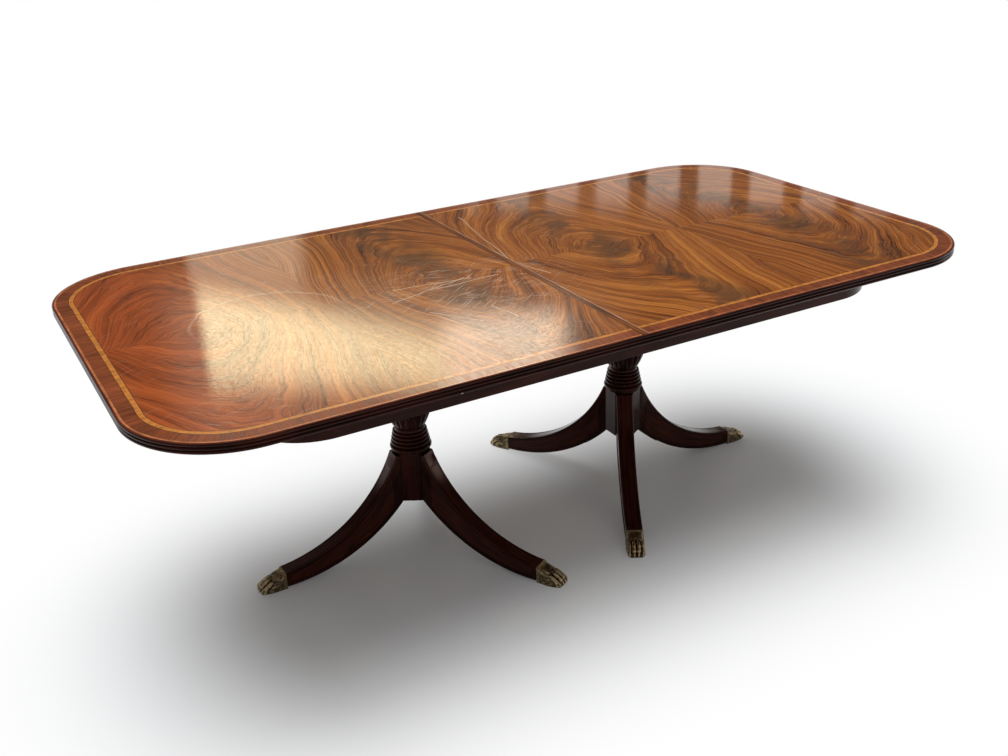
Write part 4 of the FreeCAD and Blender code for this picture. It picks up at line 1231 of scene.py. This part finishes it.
class TABLE_OT_paws(bpy.types.Operator):
    """Model the cast paws with ringed collars, four toes and claws"""

    bl_idname = "table.paws"
    bl_label = "Paws"

    def limb(self, work, stations):
        """Add a row of close balls through stations of place and radius."""
        for (start, first), (end, last) in zip(stations, stations[1:]):
            steps = max(2, int((end - start).length / (0.25 * min(first, last))))
            for part in (step / steps for step in range(steps + 1)):
                place = Matrix.Translation(start.lerp(end, part))
                radius = first + (last - first) * part
                bmesh.ops.create_icosphere(work, subdivisions=2, radius=radius, matrix=place)

    def grown(self, part, start, end):
        """How far a part of the length is between a start and an end, from 0 to 1."""
        return min(1.0, max(0.0, (part - start) / (end - start)))

    def reach(self, sizes, part):
        """Reach of a part of the length between the collar and the claws."""
        return sizes.collar_length + part * (sizes.length - sizes.collar_length)

    def crown(self, sizes, part):
        """Height of the back of the paw at a part of its length."""
        return (sizes.collar_top - sizes.collar_fall) * (1.01 - 0.81 * part**sizes.crown_fall)

    def instep(self, work, sizes):
        """Add the swelling back of the paw, lofted from the collar to the toes."""
        rings = []
        for part in np.linspace(-0.06, 0.90, 17):
            top = self.crown(sizes, max(0.0, part)) - sizes.toe_rise * self.grown(part, 0.34, 0.62)
            half = sizes.collar_half * (0.98 + 0.06 * math.sin(2.4 * max(0.0, part)))
            half *= 1.0 - 0.36 * self.grown(part, 0.30, 0.90) ** 2
            square = 0.40 + 0.15 * self.grown(part, 0.0, 0.3)
            ring = []
            for turn in np.linspace(0.0, 360.0, 40, endpoint=False):
                cosine, sine = heading(turn)
                width = math.copysign(abs(cosine) ** square, cosine) * half
                height = math.copysign(abs(sine) ** square, sine) * top
                ring.append((self.reach(sizes, part), width, height))
            rings.append(ring)
        loft(work, rings)

    def toe(self, work, sizes, index):
        """Add one toe with two knuckles, a pad and a claw."""
        from_middle = index - (sizes.toe_count - 1) / 2
        lead = sizes.toe_lead * (1.0 - abs(from_middle))
        stations = []
        for part, swelling in TOE_STATIONS:
            radius = swelling * sizes.toe_radius
            aside = from_middle * sizes.toe_pitch * (0.84 + 0.2 * part)
            fallen = sizes.toe_fall * (abs(from_middle) - 0.5)
            buried = sizes.toe_rise * self.grown(part, 0.50, 0.30)
            level = self.crown(sizes, part) - 0.5 * radius - fallen - buried
            stations.append((Vector((self.reach(sizes, part) + lead, aside, level)), radius))
        aside = from_middle * sizes.toe_pitch
        pad = self.reach(sizes, PAD_PART) + lead / 2
        stations.append((Vector((pad, aside, 0.92 * sizes.toe_radius)), sizes.toe_radius))
        self.limb(work, stations)
        tip = sizes.length + (lead - sizes.toe_lead) / 2
        self.limb(work, [
            (Vector((tip - behind, aside, level)), share * sizes.claw_radius)
            for behind, level, share in CLAW_STATIONS
        ])

    def casting(self, sizes):
        """The toes and the back of a paw as one closed skin, flat below."""
        work = bmesh.new()
        self.instep(work, sizes)
        for index in range(sizes.toe_count):
            self.toe(work, sizes, index)
        holder = add_object("rough_paw", modelled_mesh("rough_paw", work))
        remesh = holder.modifiers.new("skin", "REMESH")
        remesh.mode = "VOXEL"
        remesh.voxel_size = sizes.voxel
        skin = plain_mesh(holder)
        work = bmesh.new()
        work.from_mesh(skin)
        axes = {"use_axis_x": True, "use_axis_y": True, "use_axis_z": True}
        for turn in range(3):
            bmesh.ops.smooth_vert(work, verts=work.verts, factor=0.5, **axes)
        everything = work.verts[:] + work.edges[:] + work.faces[:]
        cut = bmesh.ops.bisect_plane(
            work, geom=everything, plane_co=(0, 0, sizes.sole), plane_no=(0, 0, -1), clear_outer=True
        )
        rim = [part for part in cut["geom_cut"] if isinstance(part, bmesh.types.BMEdge)]
        bmesh.ops.contextual_create(work, geom=rim)
        work.to_mesh(skin)
        work.free()
        return skin

    def relief(self, mesh):
        """How far each vertex stands out from its neighbours, with a half for flat."""
        places = points_of(mesh)
        pairs = np.empty(len(mesh.edges) * 2, np.int64)
        mesh.edges.foreach_get("vertices", pairs)
        first, second = pairs.reshape(-1, 2).T
        counts = np.bincount(pairs, minlength=len(places))[:, None]

        def spread(values):
            """Mean of each vertex's neighbours."""
            total = np.zeros_like(values)
            np.add.at(total, first, values[second])
            np.add.at(total, second, values[first])
            return total / np.maximum(counts, 1)

        level = places
        for turn in range(12):
            level = spread(level)
        normals = np.empty(len(places) * 3)
        mesh.vertices.foreach_get("normal", normals)
        stand = ((places - level) * normals.reshape(-1, 3)).sum(1, keepdims=True)
        return np.clip(0.5 + spread(spread(stand))[:, 0] / RIDGE_HEIGHT, 0.0, 1.0)

    def collar(self, sizes):
        """Collar round the leg's end with fine rings."""
        work = bmesh.new()
        steps = 8 * sizes.ring_count + 6
        rings = []
        for part in (index / steps for index in range(steps + 1)):
            wave = abs(math.sin(part * math.pi * sizes.ring_count))
            inset = sizes.ring_depth * (1.0 - wave**0.6)
            half = sizes.collar_half - inset
            top = sizes.collar_top - inset - part * sizes.collar_fall
            bend = sizes.corner_start + sizes.corner_gain * part
            outline = [(-half, sizes.sole), (half, sizes.sole)]
            for middle, start in ((half - bend, 0), (bend - half, 90)):
                for step in range(7):
                    cosine, sine = heading(start + 15 * step)
                    outline.append((middle + bend * cosine, top - bend + bend * sine))
            rings.append([(part * sizes.collar_length, y, z) for y, z in outline])
        loft(work, rings)
        bmesh.ops.recalc_face_normals(work, faces=work.faces)
        return modelled_mesh("paw_collar", work)

    def execute(self, context):
        sizes = context.scene.table_paws
        legs = context.scene.table_pedestals
        skin = self.casting(sizes)
        collar = self.collar(sizes)
        store(skin, "relief", self.relief(skin))
        store(collar, "relief", np.full(len(collar.vertices), COLLAR_RELIEF))
        work = bmesh.new()
        for mesh in (skin, collar):
            store_grain(mesh, *points_of(mesh).T)
            work.from_mesh(mesh)
            bpy.data.meshes.remove(mesh)
        for side, way in SIDES.items():
            for name, turn in LEG_TURNS[side].items():
                mesh = bpy.data.meshes.new("paw")
                work.to_mesh(mesh)
                place = Matrix.Translation((way * legs.offset, 0.0, 0.0))
                place @= Matrix.Rotation(math.radians(turn), 4, "Z")
                mesh.transform(place @ Matrix.Translation((legs.ankle_reach, 0.0, 0.0)))
                smooth_by_angle(mesh, 50.0)
                node = "paw_%s_%s" % (name, side)
                add_stand_in("lion_paw_%s_%s" % (name, side), mesh, node, "antique_brass")
        work.free()
        return {"FINISHED"}


class TABLE_OT_underframe(bpy.types.Operator):
    """Finish the core boards, bearers, slides, plates and glue blocks"""

    bl_idname = "table.underframe"
    bl_label = "Underframe"

    def execute(self, context):
        ease = context.scene.table_pedestals.edge_ease
        names = ["slide_%s_%s" % (place, row) for place in ("left", "middle", "right") for row in ROWS]
        for side in SIDES:
            names += [part + side for part in ("top_core_", "bearers_", "mounting_plate_", "glue_blocks_")]
        for index, node in enumerate(names):
            mesh = merged_copy(node)
            x, y, z = points_of(mesh).T
            store_grain(mesh, x, y + GRAIN_STEP * index, z)
            piece = add_stand_in(node + "_wood", mesh, node, "secondary_wood")
            ease_edges(piece, ease)
        return {"FINISHED"}


class TABLE_OT_fittings(bpy.types.Operator):
    """Finish the latches, bolts, straps, pins and add the small screws"""

    bl_idname = "table.fittings"
    bl_label = "Fittings"

    def plate_points(self, node, sizes):
        """Four points under each plate of a node, inside its corners."""
        low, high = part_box(node)
        inset = sizes.plate_inset
        points = []
        for row in ROWS.values():
            edge = high.y if row > 0 else low.y
            for x in (low.x + inset, high.x - inset):
                for across in (inset, sizes.plate_width - inset):
                    points.append((x, edge - row * across, high.z - sizes.plate_thickness))
        return points

    def rail_points(self, node, side, sizes):
        """Points along the underside of a rail, on its own half."""
        low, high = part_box(node)
        way = SIDES[side]
        end = high.x if way > 0 else low.x
        spots = np.linspace(way * sizes.rail_inset, end - way * sizes.rail_inset, sizes.rail_count)
        return [(spot, (low.y + high.y) / 2, low.z) for spot in spots]

    def execute(self, context):
        sizes = context.scene.table_fittings
        steel = ["latch_plates", "latch_keepers", "latch_lever_front", "latch_lever_back"]
        steel += [part + side for side in SIDES for part in ("pedestal_bolts_", "pedestal_screws_")]
        for node in steel:
            dress(node, "fastener_steel")
        dress("alignment_pins", "pin_brass")
        recipe = screw_recipe()
        plates = {"left": "latch_plates", "right": "latch_keepers"}
        values = {
            "Head": sizes.head,
            "Head height": sizes.head_height,
            "Slot": sizes.slot,
            "Material": finish("fastener_steel"),
        }
        for side in SIDES:
            dress("strap_" + side, "black_iron")
            points = self.plate_points(plates[side], sizes)
            for row in ROWS:
                points += self.rail_points("slide_%s_%s" % (side, row), side, sizes)
            cloud = bpy.data.meshes.new("screw_places")
            cloud.from_pydata(points, [], [])
            mesh = recipe.make(cloud, values)
            add_piece("wood_screws_" + side, mesh, side + "_half", "fastener_steel", "fastener_steel")
        return {"FINISHED"}


class TABLE_OT_stage(bpy.types.Operator):
    """Set the floor, the lamps and the camera"""

    bl_idname = "table.stage"
    bl_label = "Stage"

    def seen(self, graph, *kinds):
        """Whether a ray is one of a few kinds."""
        rays = graph.add("ShaderNodeLightPath").outputs
        answer = Signal(graph, rays["Is Camera Ray"])
        for kind in kinds:
            answer = answer.at_least(rays[kind])
        return answer

    def floor(self, looks):
        """Pale floor that glows white away from the table, painted light that fades its shadow out there;
        under the table a little of that glow lightens the shadow that it keeps.
        """
        half = looks.floor_size / 2
        corners = [(-half, -half, 0), (half, -half, 0), (half, half, 0), (-half, half, 0)]
        mesh = bpy.data.meshes.new("floor")
        mesh.from_pydata(corners, [], [(0, 1, 2, 3)])
        graph = Finish("pale_floor", gloss=0.0)
        graph.set("Base Color", (*looks.floor, 1.0))
        graph.set("Roughness", 0.9)
        x, y = graph.parts(graph.place())[:2]
        past = (abs(x) - looks.floor_length).at_least(0.0)
        away = hypotenuse(past, y + looks.floor_shift)
        # Painted light: the floor glows white more and more away from the table, which fades its shadow out,
        # and a little under it, which lightens the shadow
        far = away.fade(looks.floor_near, looks.floor_far, looks.floor_glow, 1.0)
        white = graph.step("ShaderNodeEmission")
        clear = graph.step("ShaderNodeBsdfTransparent")
        below = graph.add("ShaderNodeNewGeometry").outputs["Backfacing"]
        pale = far * self.seen(graph, "Is Glossy Ray", "Is Transmission Ray")
        surface = graph.fill(graph.add("ShaderNodeMixShader"), pale, graph.shader.outputs[0], white)
        surface = graph.fill(graph.add("ShaderNodeMixShader"), below, surface, clear)
        graph.put(graph.tree.nodes["Material Output"].inputs["Surface"], surface)
        mesh.materials.append(graph.material)
        add_object("floor", mesh)

    def inside(self, graph, turn, height, box):
        """How far a direction, in degrees, is inside a soft box."""
        aside = turn - (box["left"] + box["right"]) / 2
        above = height - aside * box.get("low_tilt", 0.0)
        below = height - aside * box.get("high_tilt", 0.0)
        answer = turn.fade(box["left"] - box["soft"], box["left"])
        answer = answer * turn.fade(box["right"] + box["tail"], box["right"])
        answer = answer * above.fade(box["low"] - box["fade"], box["low"])
        answer = answer * below.fade(box["high"] + box["fade"], box["high"])
        if "pitch" in box:
            phase = graph.math("FRACT", (turn - box["left"]) / box["pitch"])
            answer = answer * abs(phase - 0.5).fade(*BAR_EDGES)
        return answer

    def sky(self, looks):
        """White backdrop, a dim room, even light above it and the soft boxes."""
        world = bpy.data.worlds.new("studio")
        bpy.context.scene.world = world
        world.use_nodes = True
        graph = Graph(world.node_tree)
        x, y, up = graph.parts(graph.add("ShaderNodeTexCoord").outputs["Generated"])
        turn = graph.math("ARCTAN2", x, y) * math.degrees(1.0)
        climb = graph.math("ARCSINE", up)
        height = climb * math.degrees(1.0)
        tone = graph.mix(up.fade(*SKY_RISE), looks.dusk, looks.sky)
        backdrop_end = looks.backdrop_top + looks.backdrop_fade
        tone = graph.mix(climb.fade(backdrop_end, looks.backdrop_top), tone, looks.backdrop)
        for box in SOFT_BOXES.values():
            lit = [box["strength"] * channel for channel in box["tint"]]
            tone = graph.mix(self.inside(graph, turn, height, box), tone, lit)
        tone = graph.mix(self.seen(graph, "Is Transmission Ray"), tone, looks.backdrop)
        graph.put(world.node_tree.nodes["Background"].inputs["Color"], tone)

    def execute(self, context):
        looks = context.scene.table_stage
        self.floor(looks)
        self.sky(looks)
        sun = add_object("high_lamp", bpy.data.lights.new("high_lamp", "SUN"))
        sun.data.energy = looks.sun_strength
        sun.data.angle = looks.sun_spread
        sun.rotation_euler = looks.sun_turn
        sun.visible_glossy = False
        camera = add_object("camera", bpy.data.cameras.new("camera"))
        camera.data.sensor_width = looks.camera_film
        camera.data.lens = looks.camera_lens
        camera.location = looks.camera_place
        camera.rotation_euler = looks.camera_turn
        context.scene.camera = camera
        context.scene.view_settings.view_transform = "Standard"
        return {"FINISHED"}


class TABLE_PT_panel(bpy.types.Panel):
    """Steps that finish the table"""

    bl_idname = "TABLE_PT_panel"
    bl_label = "Dining table"
    bl_space_type = "VIEW_3D"
    bl_region_type = "UI"
    bl_category = "Table"

    def draw(self, context):
        for step in STEPS:
            self.layout.operator(step.bl_idname)


STEPS = (
    TABLE_OT_veneers,
    TABLE_OT_reeded_edges,
    TABLE_OT_aprons,
    TABLE_OT_columns,
    TABLE_OT_legs,
    TABLE_OT_paws,
    TABLE_OT_underframe,
    TABLE_OT_fittings,
    TABLE_OT_stage,
)
GROUPS = {
    "table_top": TopProperties,
    "table_finishes": FinishProperties,
    "table_pedestals": PedestalProperties,
    "table_paws": PawProperties,
    "table_fittings": FittingProperties,
    "table_stage": StageProperties,
}


def register():
    """Make the steps, their panel and their settings known."""
    for known in (*GROUPS.values(), *STEPS, TABLE_PT_panel):
        bpy.utils.register_class(known)
    for name, group in GROUPS.items():
        setattr(bpy.types.Scene, name, PointerProperty(type=group))


def unregister():
    """Take the steps, their panel and their settings away."""
    for name in GROUPS:
        delattr(bpy.types.Scene, name)
    for known in (TABLE_PT_panel, *STEPS, *GROUPS.values()):
        bpy.utils.unregister_class(known)


def main():
    """Run every step."""
    register()
    for step in STEPS:
        group, name = step.bl_idname.split(".")
        getattr(getattr(bpy.ops, group), name)()


if __name__ == "__main__":
    main()
